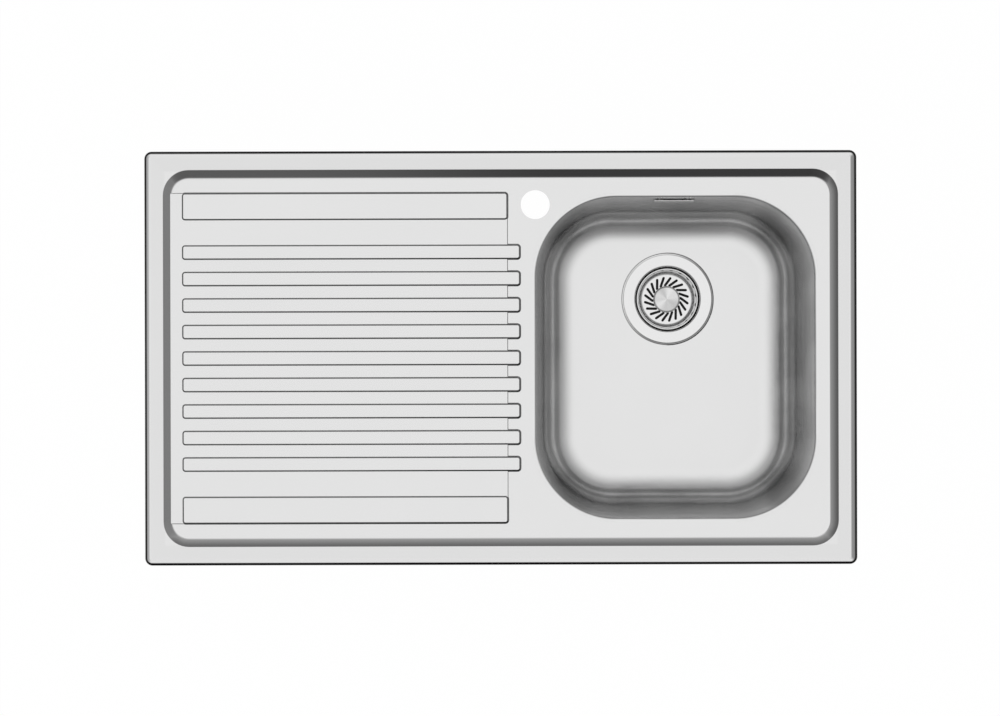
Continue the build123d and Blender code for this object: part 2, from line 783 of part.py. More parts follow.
def make_stem_clip():
    """A split spring sleeve round the stem's lower end, which grips the screw's socket."""
    low = bowl_floor - stem_reach + stem_chamfer
    sleeve = ring(stem_radius + stem_clip_wall, stem_radius + stem_fit, low, low + stem_clip_height)
    gap_x = (0, stem_radius + stem_clip_wall + cut_margin)
    gap_z = (low - cut_margin, low + stem_clip_height + cut_margin)
    return at_waste(sleeve - block(gap_x, (-stem_clip_slot / 2, stem_clip_slot / 2), gap_z))


# ---- overflow ----
def overflow_block(length, height, start, end, radius):
    """A rounded block across the overflow, from one distance off the wall's inner surface to another."""
    return extrude(overflow_plane().offset(start) * RectangleRounded(length, height, radius), end - start)


def overflow_columns(radius, start, end, end_radius=None):
    """Two round columns at the overflow's screws, tapered where an end radius is given."""
    taper = 0 if end_radius is None else math.degrees(math.atan((radius - end_radius) / (end - start)))
    plane = overflow_plane().offset(start)
    left = extrude(plane * Pos(-overflow_screw_spacing / 2, 0) * Circle(radius), end - start, taper=taper)
    right = extrude(plane * Pos(overflow_screw_spacing / 2, 0) * Circle(radius), end - start, taper=taper)
    return left + right


def make_overflow_cover():
    """A pressed cover that stands off the wall, closed at both ends and open above and below."""
    back = -overflow_standoff
    front = back - overflow_cover_sheet
    cover = overflow_block(
        overflow_cover_length, overflow_cover_height, front, -part_clearance, overflow_cover_corner
    )
    cover = fillet(cover.faces().sort_by(Axis.Y)[0].edges(), overflow_cover_fold)
    inner_length = overflow_cover_length - 2 * overflow_cover_sheet
    plan = overflow_plane().offset(back) * Rectangle(inner_length, overflow_cover_height + 2 * cut_margin)
    cover -= extrude(plan, overflow_standoff)
    hole_radius = overflow_screw_radius + part_clearance
    cover -= overflow_columns(hole_radius, front - cut_margin, back + cut_margin)
    return cover - overflow_columns(overflow_screw_head_radius + part_clearance, front, back, hole_radius)


def make_overflow_seal():
    end = sheet + overflow_seal_thickness
    seal = overflow_block(overflow_flange_length, overflow_flange_height, sheet, end, overflow_flange_corner)
    hole_length = overflow_slot_length + 2 * overflow_hole_margin
    hole_height = overflow_slot_height + 2 * overflow_hole_margin
    return seal - overflow_block(
        hole_length, hole_height, sheet - cut_margin, end + cut_margin, overflow_hole_corner
    )


def make_overflow_body():
    """The plastic housing behind the wall: flange, chamber, elbow, collar and spigot."""
    flange_start = sheet + overflow_seal_thickness
    chamber_start = flange_start + overflow_flange_thickness
    chamber_end = chamber_start + chamber_depth
    chamber_length = overflow_slot_length + 2 * chamber_wall
    chamber_height = overflow_slot_height + 2 * chamber_wall
    body = overflow_block(
        overflow_flange_length, overflow_flange_height, flange_start, chamber_start, overflow_flange_corner
    )
    body += overflow_block(chamber_length, chamber_height, chamber_start, chamber_end, chamber_corner)
    mouth = wall_y(overflow_level) + chamber_end - chamber_wall
    body += elbow_form(elbow_radius, mouth, collar_top)
    centre = (bowl_centre_x, elbow_y)
    body += disc(collar_radius, hose_top, collar_top, centre)
    body += disc(spigot_radius, hose_top - spigot_length, hose_top, centre)
    body -= overflow_block(
        overflow_slot_length, overflow_slot_height, flange_start - cut_margin, chamber_end - chamber_wall,
        overflow_hole_corner,
    )
    body -= elbow_form(elbow_bore_radius, mouth - chamber_wall, hose_top - spigot_length - cut_margin)
    boss_end = chamber_end - chamber_wall / 2
    bosses = overflow_columns(overflow_screw_radius + boss_wall, -overflow_standoff, boss_end)
    hole_start = -overflow_standoff - cut_margin
    return body + bosses - overflow_columns(overflow_screw_radius, hole_start, chamber_end - chamber_wall)


def elbow_form(radius, start_y, low):
    """A round elbow that leaves the chamber backwards and turns down."""
    back = Plane((bowl_centre_x, start_y, overflow_level), x_dir=(1, 0, 0), z_dir=(0, 1, 0))
    shape = extrude(back * Circle(radius), elbow_y - start_y)
    shape += disc(radius, low, overflow_level, (bowl_centre_x, elbow_y))
    return shape + Pos(bowl_centre_x, elbow_y, overflow_level) * Sphere(radius)


def make_overflow_screws():
    """Two countersunk screws that hold the cover and the body together."""
    front = -overflow_standoff - overflow_cover_sheet
    shank = overflow_columns(overflow_screw_radius, front, front + overflow_screw_length)
    head = overflow_columns(overflow_screw_head_radius, front, -overflow_standoff, overflow_screw_radius)
    return shank + head


# ---- overflow hose ----
def hose_path():
    """From the upper spigot straight down, round one large arc and forwards to the waste body's spigot."""
    top = (bowl_centre_x, elbow_y, hose_top)
    corner = (bowl_centre_x, elbow_y, spigot_level)
    end = (bowl_centre_x, spigot_end_y, spigot_level)
    return FilletPolyline(top, corner, end, radius=hose_bend_radius)


def make_overflow_hose():
    """A ribbed hose with smooth cuffs, lofted through level circles along its path, with a plain bore."""
    path = hose_path()
    length = path.length
    count = int((length - 2 * hose_cuff_length) / rib_pitch)
    pitch = (length - 2 * hose_cuff_length) / count
    stations = [(0.0, hose_cuff_radius), (hose_cuff_length - rib_flank, hose_cuff_radius)]
    for i in range(count):
        start = hose_cuff_length + i * pitch
        crest_start = start + pitch - rib_crest - rib_flank
        stations += [
            (start, hose_root_radius), (crest_start - rib_flank, hose_root_radius),
            (crest_start, hose_rib_radius), (crest_start + rib_crest, hose_rib_radius),
        ]
    stations += [(length - hose_cuff_length, hose_cuff_radius), (length, hose_cuff_radius)]
    sections = [hose_plane(path, along / length) * Circle(radius) for along, radius in stations]
    skin = loft(sections, ruled=True)
    bore = sweep(hose_plane(path, 0) * Circle(hose_bore_radius), path=path)
    return skin - bore


def hose_plane(path, share):
    """The plane square to the hose's path, with its X axis kept along X."""
    return Plane(path @ share, x_dir=(1, 0, 0), z_dir=path % share)


def hose_nut():
    """A lugged nut about Z that covers a collar and closes on the hose's cuff, with its mouth at z = 0."""
    outer = collar_radius + part_clearance + nut_wall
    height = collar_length + nut_lip
    nut = disc(outer, -height, 0)
    thread_hole = disc(collar_radius + part_clearance, -collar_length, cut_margin)
    nut -= disc(hose_cuff_radius + part_clearance, -height - cut_margin, 0)
    lug = disc(nut_lug_radius, -height, 0, (outer, 0))
    for i in range(nut_lug_count):
        nut += Rot(0, 0, i * 360 / nut_lug_count) * lug
    return nut - thread_hole


def make_hose_nut_upper():
    return Pos(bowl_centre_x, elbow_y, collar_top) * hose_nut()


def make_hose_nut_lower():
    return Pos(bowl_centre_x, spigot_end_y - collar_length, spigot_level) * Rot(90, 0, 0) * hose_nut()


# ---- earth bonding ----
def make_earth_tag():
    """A flat tab welded under the deck, for the bonding wire."""
    low = deck_underside - earth_tag_drop
    tag = block(
        (earth_tag_x - earth_tag_sheet / 2, earth_tag_x + earth_tag_sheet / 2),
        (earth_tag_y - earth_tag_width / 2, earth_tag_y + earth_tag_width / 2), (low, deck_underside),
    )
    hole = earth_plane().offset(-earth_tag_sheet) * Circle(earth_screw_radius + part_clearance)
    return tag - extrude(hole, 2 * earth_tag_sheet)


def earth_plane():
    """The plane through the earth screw's axis, square to it, in the middle of the tab."""
    level = deck_underside - earth_tag_drop + earth_tag_width / 2
    return Plane((earth_tag_x, earth_tag_y, level), x_dir=(0, 1, 0), z_dir=(1, 0, 0))


def make_earth_screw():
    """A round-headed screw through the tab, with its nut."""
    face = earth_tag_sheet / 2
    screw = extrude(earth_plane().offset(-face) * Circle(earth_screw_radius), earth_screw_length)
    head_plane = earth_plane().offset(-face - earth_head_height)
    screw += extrude(head_plane * Circle(earth_head_radius), earth_head_height)
    plan = earth_plane().offset(face) * RegularPolygon(earth_nut_width / 2, 6, major_radius=False)
    nut = extrude(plan, earth_nut_height)
    return screw + nut


# ---- write every node ----
nodes = {
    "deck_sheet": make_deck_sheet(),
    "bowl_shell": make_bowl_shell(),
    "rim_gasket": make_rim_gasket(),
    "rail_rear": make_rail(deck_length - 2 * rail_end_distance, 0, rail_y, True),
    "rail_front": make_rail(deck_length - 2 * rail_end_distance, 0, -rail_y, True),
    "rail_left": make_rail(deck_width - 2 * rail_end_distance, -rail_x, 0, False),
    "rail_right": make_rail(deck_width - 2 * rail_end_distance, rail_x, 0, False),
    "clip_screws": Compound(children=[place_clip(clip_screw(), p) for p in clip_places()]),
    "bowl_pad": make_bowl_pad(),
    "drainer_pad": make_drainer_pad(),
    "flange_seal": make_flange_seal(),
    "lower_seal": make_lower_seal(),
    "strainer_cup": make_strainer_cup(),
    "waste_body": make_waste_body(),
    "waste_screw": make_waste_screw(),
    "waste_nut": make_waste_nut(),
    "basket_cup": make_basket_cup(),
    "basket_knob": make_basket_knob(),
    "basket_stem": make_basket_stem(),
    "stopper_seal": make_stopper_seal(),
    "stem_clip": make_stem_clip(),
    "overflow_cover": make_overflow_cover(),
    "overflow_seal": make_overflow_seal(),
    "overflow_body": make_overflow_body(),
    "overflow_screws": make_overflow_screws(),
    "overflow_hose": make_overflow_hose(),
    "hose_nut_upper": make_hose_nut_upper(),
    "hose_nut_lower": make_hose_nut_lower(),
    "earth_tag": make_earth_tag(),
    "earth_screw": make_earth_screw(),
}
for number, place in enumerate(clip_places(), start=1):
    nodes[f"carrier_{number}"] = place_clip(carrier_washer(), place)
    nodes[f"wing_nut_{number}"] = place_clip(wing_nut(), place)
    nodes[f"claw_{number}"] = place_clip(claw(), place)

for name, shape in nodes.items():
    export_step(shape, f"parts/{name}.step")
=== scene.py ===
"""Looks of an inset kitchen sink with a drainer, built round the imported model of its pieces.

Lengths are metres in the model's own frame, save where a class says otherwise: +X towards the bowl, +Y to the
rear, +Z up. A Span is where a smooth step starts and ends, and the step falls where its first number is the
larger. A Span named for a facing is a part of the surface's normal, from -1 to 1.
"""

import json
import logging
import math
from dataclasses import dataclass
from enum import Enum

import bmesh
import bpy
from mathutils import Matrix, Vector

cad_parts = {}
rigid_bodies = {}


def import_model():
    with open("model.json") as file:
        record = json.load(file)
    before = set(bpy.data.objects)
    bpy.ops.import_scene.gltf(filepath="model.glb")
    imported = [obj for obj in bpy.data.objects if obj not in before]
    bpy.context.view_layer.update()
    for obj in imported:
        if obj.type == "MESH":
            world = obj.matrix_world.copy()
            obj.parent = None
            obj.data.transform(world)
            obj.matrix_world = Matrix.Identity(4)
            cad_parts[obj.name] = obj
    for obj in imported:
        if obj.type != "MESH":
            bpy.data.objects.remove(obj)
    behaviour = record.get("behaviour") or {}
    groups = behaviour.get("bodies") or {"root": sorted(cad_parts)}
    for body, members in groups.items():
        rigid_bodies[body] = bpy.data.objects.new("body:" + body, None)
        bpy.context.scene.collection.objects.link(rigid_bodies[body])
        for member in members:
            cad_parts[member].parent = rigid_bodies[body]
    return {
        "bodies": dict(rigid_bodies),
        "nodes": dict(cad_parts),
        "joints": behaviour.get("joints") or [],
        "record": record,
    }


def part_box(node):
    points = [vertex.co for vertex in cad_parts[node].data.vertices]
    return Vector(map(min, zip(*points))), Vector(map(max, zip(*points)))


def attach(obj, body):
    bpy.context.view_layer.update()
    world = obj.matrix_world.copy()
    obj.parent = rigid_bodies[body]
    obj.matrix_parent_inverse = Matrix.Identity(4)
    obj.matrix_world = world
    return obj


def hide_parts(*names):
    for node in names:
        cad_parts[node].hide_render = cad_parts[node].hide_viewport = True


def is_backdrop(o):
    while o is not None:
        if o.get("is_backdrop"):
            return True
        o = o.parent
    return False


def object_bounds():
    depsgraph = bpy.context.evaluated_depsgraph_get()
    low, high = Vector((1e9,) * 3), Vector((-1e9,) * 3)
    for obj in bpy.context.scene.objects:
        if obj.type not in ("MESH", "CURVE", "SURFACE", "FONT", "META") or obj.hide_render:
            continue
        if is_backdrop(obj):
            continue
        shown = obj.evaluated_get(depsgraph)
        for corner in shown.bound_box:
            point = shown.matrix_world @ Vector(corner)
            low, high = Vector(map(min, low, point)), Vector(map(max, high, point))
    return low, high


LOG = logging.getLogger("sink")
MILLIMETRE = 0.001
CENTIMETRES_IN_METRE = 100.0
SHARP_EDGE = 35.0
SAME_POINT = 1e-7
WHITE = (1.0, 1.0, 1.0)
BLACK = (0.0, 0.0, 0.0)
Socket = bpy.types.NodeSocket
Piece = bpy.types.Object
Shape = bmesh.types.BMesh
Colour = tuple[float, float, float]
Factors = tuple[float, float, float]
Place = tuple[float, float]
Span = tuple[float, float]
Stops = tuple[tuple[float, float], ...]
Outline = list[tuple[float, float]]


class Value:
    """A number that varies over a surface: a node's socket, whose arithmetic adds Math nodes."""

    def __init__(self, graph: "Graph", socket: Socket) -> None:
        """Wraps a socket.

        Args:
            graph: The node tree that the socket is in.
            socket: An output socket that holds a number.
        """
        self.graph = graph
        self.socket = socket

    def __add__(self, other: "Value | float") -> "Value":
        """The sum of two numbers."""
        return self.graph.math("ADD", self, other)

    def __radd__(self, other: float) -> "Value":
        """The sum with a plain number first."""
        return self.graph.math("ADD", other, self)

    def __sub__(self, other: "Value | float") -> "Value":
        """The difference of two numbers."""
        return self.graph.math("SUBTRACT", self, other)

    def __rsub__(self, other: float) -> "Value":
        """The difference with a plain number first."""
        return self.graph.math("SUBTRACT", other, self)

    def __mul__(self, other: "Value | float") -> "Value":
        """The product of two numbers."""
        return self.graph.math("MULTIPLY", self, other)

    def __rmul__(self, other: float) -> "Value":
        """The product with a plain number first."""
        return self.graph.math("MULTIPLY", other, self)

    def __truediv__(self, other: "Value | float") -> "Value":
        """The quotient of two numbers."""
        return self.graph.math("DIVIDE", self, other)

    def __abs__(self) -> "Value":
        """This number without its sign."""
        return self.graph.math("ABSOLUTE", self)


class Graph:
    """A node tree of a material or world, with short ways to add its nodes and join them."""

    def __init__(self, tree: bpy.types.NodeTree) -> None:
        """Takes over a tree and empties it.

        Args:
            tree: The node tree to fill.
        """
        tree.nodes.clear()
        self.tree = tree

    def add(self, kind: str, settings: dict | None = None, inputs: dict | None = None) -> bpy.types.Node:
        """Adds a node, sets its settings and then feeds its sockets.

        Args:
            kind: The node's type, such as ShaderNodeTexNoise.
            settings: Attributes of the node; "stops" holds a ramp's stops.
            inputs: What each input socket gets, by name or index: a number, colour, Value or socket.

        Returns:
            The new node.
        """
        node = self.tree.nodes.new(kind)
        for name, setting in (settings or {}).items():
            if name == "stops":
                self.set_stops(node.color_ramp, setting)
            else:
                setattr(node, name, setting)
        for key, given in (inputs or {}).items():
            self.feed(node.inputs[key], given)
        return node

    def set_stops(self, ramp: bpy.types.ColorRamp, stops: Stops) -> None:
        """Writes a ramp's grey stops.

        Args:
            ramp: The ramp of a Color Ramp node.
            stops: Positions from 0 to 1 with a grey level for each.
        """
        while len(ramp.elements) < len(stops):
            ramp.elements.new(1.0)
        ramp.interpolation = "LINEAR"
        for element, (position, level) in zip(ramp.elements, stops):
            element.position = position
            element.color = (level, level, level, 1.0)

    def feed(self, socket: Socket, given: object) -> None:
        """Joins an output to an input socket, or sets the socket's own number or colour.

        Args:
            socket: The input socket.
            given: A Value, an output socket, a number or a colour.
        """
        if isinstance(given, Value):
            self.tree.links.new(given.socket, socket)
        elif isinstance(given, Socket):
            self.tree.links.new(given, socket)
        elif isinstance(given, tuple) and socket.type == "RGBA":
            socket.default_value = (*given, 1.0)
        else:
            socket.default_value = given

    def value(self, node: bpy.types.Node, output: str | int = 0) -> Value:
        """One output of a node as a Value."""
        return Value(self, node.outputs[output])

    def math(self, operation: str, *terms: "Value | float") -> Value:
        """Adds a Math node.

        Args:
            operation: The node's operation, such as ADD.
            terms: Its one to three numbers.

        Returns:
            The node's result.
        """
        return self.value(self.add("ShaderNodeMath", {"operation": operation}, dict(enumerate(terms))))

    def ease(self, given: Value, low: float, high: float) -> Value:
        """A smooth step from 0 to 1 between two levels of a number.

        Args:
            given: The number.
            low: Where the step is still 0; it may be above high, and the step then falls.
            high: Where the step has reached 1.

        Returns:
            The step.
        """
        inputs = {"Value": given, "From Min": low, "From Max": high}
        return self.value(self.add("ShaderNodeMapRange", {"interpolation_type": "SMOOTHSTEP"}, inputs))

    def length(self, across: Value, along: Value) -> Value:
        """How far apart two points are in plan.

        Args:
            across: How far apart they are along X.
            along: How far apart they are along Y.

        Returns:
            The distance.
        """
        return self.math("SQRT", across * across + along * along)

    def mix(self, share: "Value | float", first: object, second: object, blend: str = "MIX") -> Socket:
        """Blends two colours.

        Args:
            share: How much of the second colour shows.
            first: A colour or a colour socket.
            second: A colour or a colour socket.
            blend: The way they are blended, such as MULTIPLY.

        Returns:
            The blended colour's socket.
        """
        settings = {"data_type": "RGBA", "blend_type": blend}
        return self.add("ShaderNodeMix", settings, {0: share, 6: first, 7: second}).outputs[2]

    def ramp(self, given: Value, stops: Stops) -> Socket:
        """Grey levels along a number from 0 to 1.

        Args:
            given: The number.
            stops: Positions with a grey level for each.

        Returns:
            The grey level's socket.
        """
        return self.add("ShaderNodeValToRGB", {"stops": stops}, {"Fac": given}).outputs["Color"]

    def parts(self, vector: Socket) -> tuple[Value, Value, Value]:
        """A vector's X, Y and Z.

        Args:
            vector: The vector's socket.

        Returns:
            Its three numbers.
        """
        node = self.add("ShaderNodeSeparateXYZ", inputs={0: vector})
        return self.value(node, "X"), self.value(node, "Y"), self.value(node, "Z")

    def place(self) -> Socket:
        """The point on the surface in the piece's own frame, which moves with the piece."""
        return self.add("ShaderNodeTexCoord").outputs["Object"]

    def facing(self) -> tuple[Value, Value, Value]:
        """The X, Y and Z of the way the surface faces, in the piece's own frame."""
        return self.parts(self.add("ShaderNodeTexCoord").outputs["Normal"])

    def stretched(self, factors: Factors) -> Socket:
        """The point on the surface, scaled along each axis.

        Args:
            factors: The scale along X, Y and Z.

        Returns:
            The scaled point's socket.
        """
        node = self.add("ShaderNodeVectorMath", {"operation": "MULTIPLY"}, {0: self.place(), 1: factors})
        return node.outputs[0]

    def noise(self, point: Socket, scale: float, detail: float = 2.0) -> Value:
        """Soft noise from 0 to 1.

        Args:
            point: Where the noise is read.
            scale: Its cells to a unit of the point.
            detail: How many finer layers it has.

        Returns:
            The noise.
        """
        node = self.add("ShaderNodeTexNoise", inputs={"Vector": point, "Scale": scale, "Detail": detail})
        return self.value(node)

    def cells(self, scale: float) -> Value:
        """Small round cells, as the distance from the middle of each.

        Args:
            scale: How many there are to a metre.

        Returns:
            The distance, where 1 is the size of a cell.
        """
        node = self.add("ShaderNodeTexVoronoi", inputs={"Vector": self.place(), "Scale": scale})
        return self.value(node, "Distance")

    def bump(self, height: Value, depth: float) -> Socket:
        """A normal that follows a height.

        Args:
            height: The height, from 0 to 1.
            depth: The relief's real depth in metres.

        Returns:
            The normal's socket.
        """
        return self.add("ShaderNodeBump", inputs={"Height": height, "Distance": depth}).outputs[0]


def new_graph(name: str) -> tuple[bpy.types.Material, Graph]:
    """A new material with an empty node tree.

    Args:
        name: The material's name.

    Returns:
        The material and its graph.
    """
    material = bpy.data.materials.new(name)
    material.use_nodes = True
    return material, Graph(material.node_tree)


def finish_surface(graph: Graph, inputs: dict) -> None:
    """Adds the surface shader with its sockets and joins it to the output.

    Args:
        graph: The material's graph.
        inputs: What each of the shader's sockets gets.
    """
    shader = graph.add("ShaderNodeBsdfPrincipled", inputs=inputs)
    graph.add("ShaderNodeOutputMaterial", inputs={"Surface": shader.outputs[0]})


def tinted(colour: Colour, factor: float) -> Colour:
    """A colour made darker or lighter by a factor, but no lighter than white."""
    return tuple(min(1.0, level * factor) for level in colour)


class Grain(Enum):
    """How the marks of making run over a metal, with their cells to a metre along X, Y and Z.

    Turned marks are counted outwards from the axis, round it and along it.
    """

    SATIN = (60.0, 2600.0, 2600.0)
    DRAWN = (14.0, 14.0, 420.0)
    TURNED = (2600.0, 0.0, 900.0)
    PLATED = (420.0, 420.0, 420.0)


@dataclass(frozen=True)
class SteelFinish:
    """A bare or plated metal, whose marks and clouds move its colour from its shade to its light."""

    name: str
    colour: Colour
    roughness: float
    grain: Grain
    relief: float = 0.004 * MILLIMETRE
    axis: Place = (0.0, 0.0)
    mark_detail: float = 2.0
    mark_share: float = 0.5
    cloud_scale: float = 9.0
    cloud_detail: float = 3.0
    cloud_share: float = 0.4
    shade: float = 0.965
    light: float = 1.03
    smoothest: float = 0.88
    roughening: float = 0.12

    def build(self) -> bpy.types.Material:
        """Makes the material.

        Returns:
            The finished material.
        """
        material, graph = new_graph(self.name)
        marks = self.marks(graph)
        cloud = graph.noise(graph.place(), self.cloud_scale, self.cloud_detail)
        uneven = self.smoothest + self.roughening * marks + self.roughening * cloud
        finish_surface(graph, {
            "Base Color": self.paint(graph, self.mark_share * marks + self.cloud_share * cloud),
            "Metallic": 1.0,
            "Roughness": self.roughness * uneven,
            "Normal": graph.bump(marks, self.relief),
        })
        return material

    def marks(self, graph: Graph) -> Value:
        """The fine marks of this metal's grain.

        Args:
            graph: The material's graph.

        Returns:
            The marks, from 0 to 1.
        """
        if self.grain is Grain.PLATED:
            return graph.cells(self.grain.value[0])
        if self.grain is Grain.TURNED:
            return graph.noise(self.rings(graph), 1.0, self.mark_detail)
        return graph.noise(graph.stretched(self.grain.value), 1.0, self.mark_detail)

    def rings(self, graph: Graph) -> Socket:
        """The point on the surface by its distance from the axis and its height, in cells of the grain.

        Args:
            graph: The material's graph.

        Returns:
            The point's socket.
        """
        across, along, height = self.from_axis(graph)
        outwards, _, upwards = self.grain.value
        inputs = {"X": graph.length(across, along) * outwards, "Z": height * upwards}
        return graph.add("ShaderNodeCombineXYZ", inputs=inputs).outputs[0]

    def from_axis(self, graph: Graph) -> tuple[Value, Value, Value]:
        """The point on the surface, measured in plan from the finish's upright axis.

        Args:
            graph: The material's graph.

        Returns:
            How far it is along X, along Y and up.
        """
        x, y, z = graph.parts(graph.place())
        return x - self.axis[0], y - self.axis[1], z

    def paint(self, graph: Graph, share: Value) -> Socket:
        """The metal's colour over the surface.

        Args:
            graph: The material's graph.
            share: How far marks and clouds lighten the colour.

        Returns:
            The colour's socket.
        """
        return graph.mix(share, tinted(self.colour, self.shade), tinted(self.colour, self.light))


@dataclass(frozen=True)
class SeatSteel(SteelFinish):
    """Steel with painted shade in the joint where the strainer's flange meets the bowl's seat.

    The painted shade lies between two radii about the waste's axis, and is strongest along line_way.
    """

    line_inside: Span = (0.0548, 0.0554)
    line_outside: Span = (0.0584, 0.0578)
    line_level: float = -0.1598
    line_height: Span = (0.0032, 0.0028)
    line_way: Place = (0.8, -0.6)
    line_sector: Span = (-0.85, 0.35)
    line_least: float = 0.05
    line_rise: float = 0.70
    joint_shade_colour: Colour = (0.12, 0.12, 0.12)

    def paint(self, graph: Graph, share: Value) -> Socket:
        """The metal's colour with the painted joint shade over it.

        Args:
            graph: The material's graph.
            share: How far marks and clouds lighten the colour.

        Returns:
            The colour's socket.
        """
        # Painted shade: the joint is darkened in the base colour, most towards the front right.
        return graph.mix(self.painted_joint_shade(graph), super().paint(graph, share), self.joint_shade_colour)

    def painted_joint_shade(self, graph: Graph) -> Value:
        """How strong the painted joint shade is, which is most towards the front right.

        Args:
            graph: The material's graph.

        Returns:
            The line, from 0 to 1.
        """
        across, along, height = self.from_axis(graph)
        radius = graph.length(across, along)
        band = graph.ease(radius, *self.line_inside) * graph.ease(radius, *self.line_outside)
        level = graph.ease(abs(height - self.line_level), *self.line_height)
        towards = (self.line_way[0] * across + self.line_way[1] * along) / radius
        return band * level * (self.line_least + self.line_rise * graph.ease(towards, *self.line_sector))


@dataclass(frozen=True)
class BowlSteel(SeatSteel):
    """The drawn bowl's steel, with painted shade that darkens its upright walls but not its floor."""

    wall_shade_colour: Colour = (0.10, 0.10, 0.10)
    wall_shade_level: float = 0.12
    high_shade_level: float = 0.30
    rear_relief: float = 0.7
    left_shade: float = 0.35
    upright_facing: Span = (0.45, 0.12)
    inner_facing: Span = (-0.03, 0.03)
    rear_facing: Span = (-0.2, -0.8)
    left_facing: Span = (0.2, 0.8)
    high_levels: Span = (-0.110, -0.015)
    streak_facing: Span = (0.97, 0.80)
    patch_stretch: Factors = (1.0, 1.0, 0.25)
    patch_scale: float = 14.0
    patch_levels: Span = (0.50, 0.66)
    patch_share: float = 0.14
    hoop_stretch: Factors = (0.05, 0.05, 1.0)
    hoop_scale: float = 160.0
    hoop_levels: Span = (0.46, 0.60)
    hoop_share: float = 0.10
    corner_facing: Span = (0.22, 0.46)
    corner_levels: Span = (0.35, 0.55)
    corner_share: float = 0.34

    def paint(self, graph: Graph, share: Value) -> Socket:
        """The metal's colour with the walls' painted shade over it.

        Args:
            graph: The material's graph.
            share: How far marks and clouds lighten the colour.

        Returns:
            The colour's socket.
        """
        # Painted shade: the upright inner walls are mixed towards a dark colour by facing and height.
        return graph.mix(self.wall_shade(graph), super().paint(graph, share), self.wall_shade_colour)

    def wall_shade(self, graph: Graph) -> Value:
        """How much painted shade darkens the walls: most near the top and on the left, least at the rear, and
        none outside.

        Args:
            graph: The material's graph.

        Returns:
            The shade, from 0 to 1.
        """
        across, along, up = graph.facing()
        height = graph.parts(graph.place())[2]
        rising = self.wall_shade_level + self.high_shade_level * graph.ease(height, *self.high_levels)
        rear = 1.0 - self.rear_relief * graph.ease(along, *self.rear_facing)
        left = 1.0 + self.left_shade * graph.ease(across, *self.left_facing)
        walls = graph.ease(up, *self.upright_facing) * (rising * rear * left)
        streaks_and_painted_reflections = graph.ease(up, *self.streak_facing) * self.streaks_and_painted_reflections(graph, abs(across * along))
        return graph.ease(up, *self.inner_facing) * (walls + streaks_and_painted_reflections)

    def streaks_and_painted_reflections(self, graph: Graph, cornering: Value) -> Value:
        """Hoops that drawing leaves round the bowl, with painted reflections: soft dark patches and darkened
        corners.

        Args:
            graph: The material's graph.
            cornering: How far the surface faces out of a corner, from 0 to a half.

        Returns:
            The marks, from 0 to 1.
        """
        # The patches and corners are painted reflections; the hoops are drawing marks.
        patches = graph.noise(graph.stretched(self.patch_stretch), self.patch_scale, 1.0)
        hoops = graph.noise(graph.stretched(self.hoop_stretch), self.hoop_scale)
        corner = graph.ease(cornering, *self.corner_facing) * graph.ease(patches, *self.corner_levels)
        spread = self.patch_share * graph.ease(patches, *self.patch_levels)
        return spread + self.hoop_share * graph.ease(hoops, *self.hoop_levels) + self.corner_share * corner


@dataclass(frozen=True)
class KnobSteel(SteelFinish):
    """The spun knob's steel, with a painted sheen of light and dark sectors round its axis."""

    dark: float = 0.66
    lobe_count: float = 2.0
    lobe_turn: float = 0.2
    lobe_share: float = 0.60
    fine_count: float = 5.0
    fine_turn: float = 1.1
    fine_share: float = 0.40
    rear_turn: float = 0.5
    rear_levels: Span = (-0.9, 0.5)
    front_level: float = 0.45
    rear_rise: float = 0.55

    def paint(self, graph: Graph, share: Value) -> Socket:
        """The metal's colour, where the painted sheen's sectors take the place of marks and clouds.

        Args:
            graph: The material's graph.
            share: Not used; what the marks and clouds would add, which the sectors hide.

        Returns:
            The colour's socket.
        """
        # Painted reflection: the spun face's sheen is painted into the colour.
        return graph.mix(self.painted_sheen(graph), tinted(self.colour, self.dark), tinted(self.colour, self.light))

    def painted_sheen(self, graph: Graph) -> Value:
        """The painted sheen's sectors, lighter towards the rear.

        Args:
            graph: The material's graph.

        Returns:
            The sectors, from 0 to 1.
        """
        across, along, _ = self.from_axis(graph)
        turn = graph.math("ARCTAN2", along, across)
        lobes = 0.5 + 0.5 * graph.math("SINE", self.lobe_count * turn + self.lobe_turn)
        fine = 0.5 + 0.5 * graph.math("SINE", self.fine_count * turn + self.fine_turn)
        rearward = graph.ease(graph.math("SINE", turn - self.rear_turn), *self.rear_levels)
        sectors = self.lobe_share * lobes + self.fine_share * fine
        return sectors * (self.front_level + self.rear_rise * rearward)


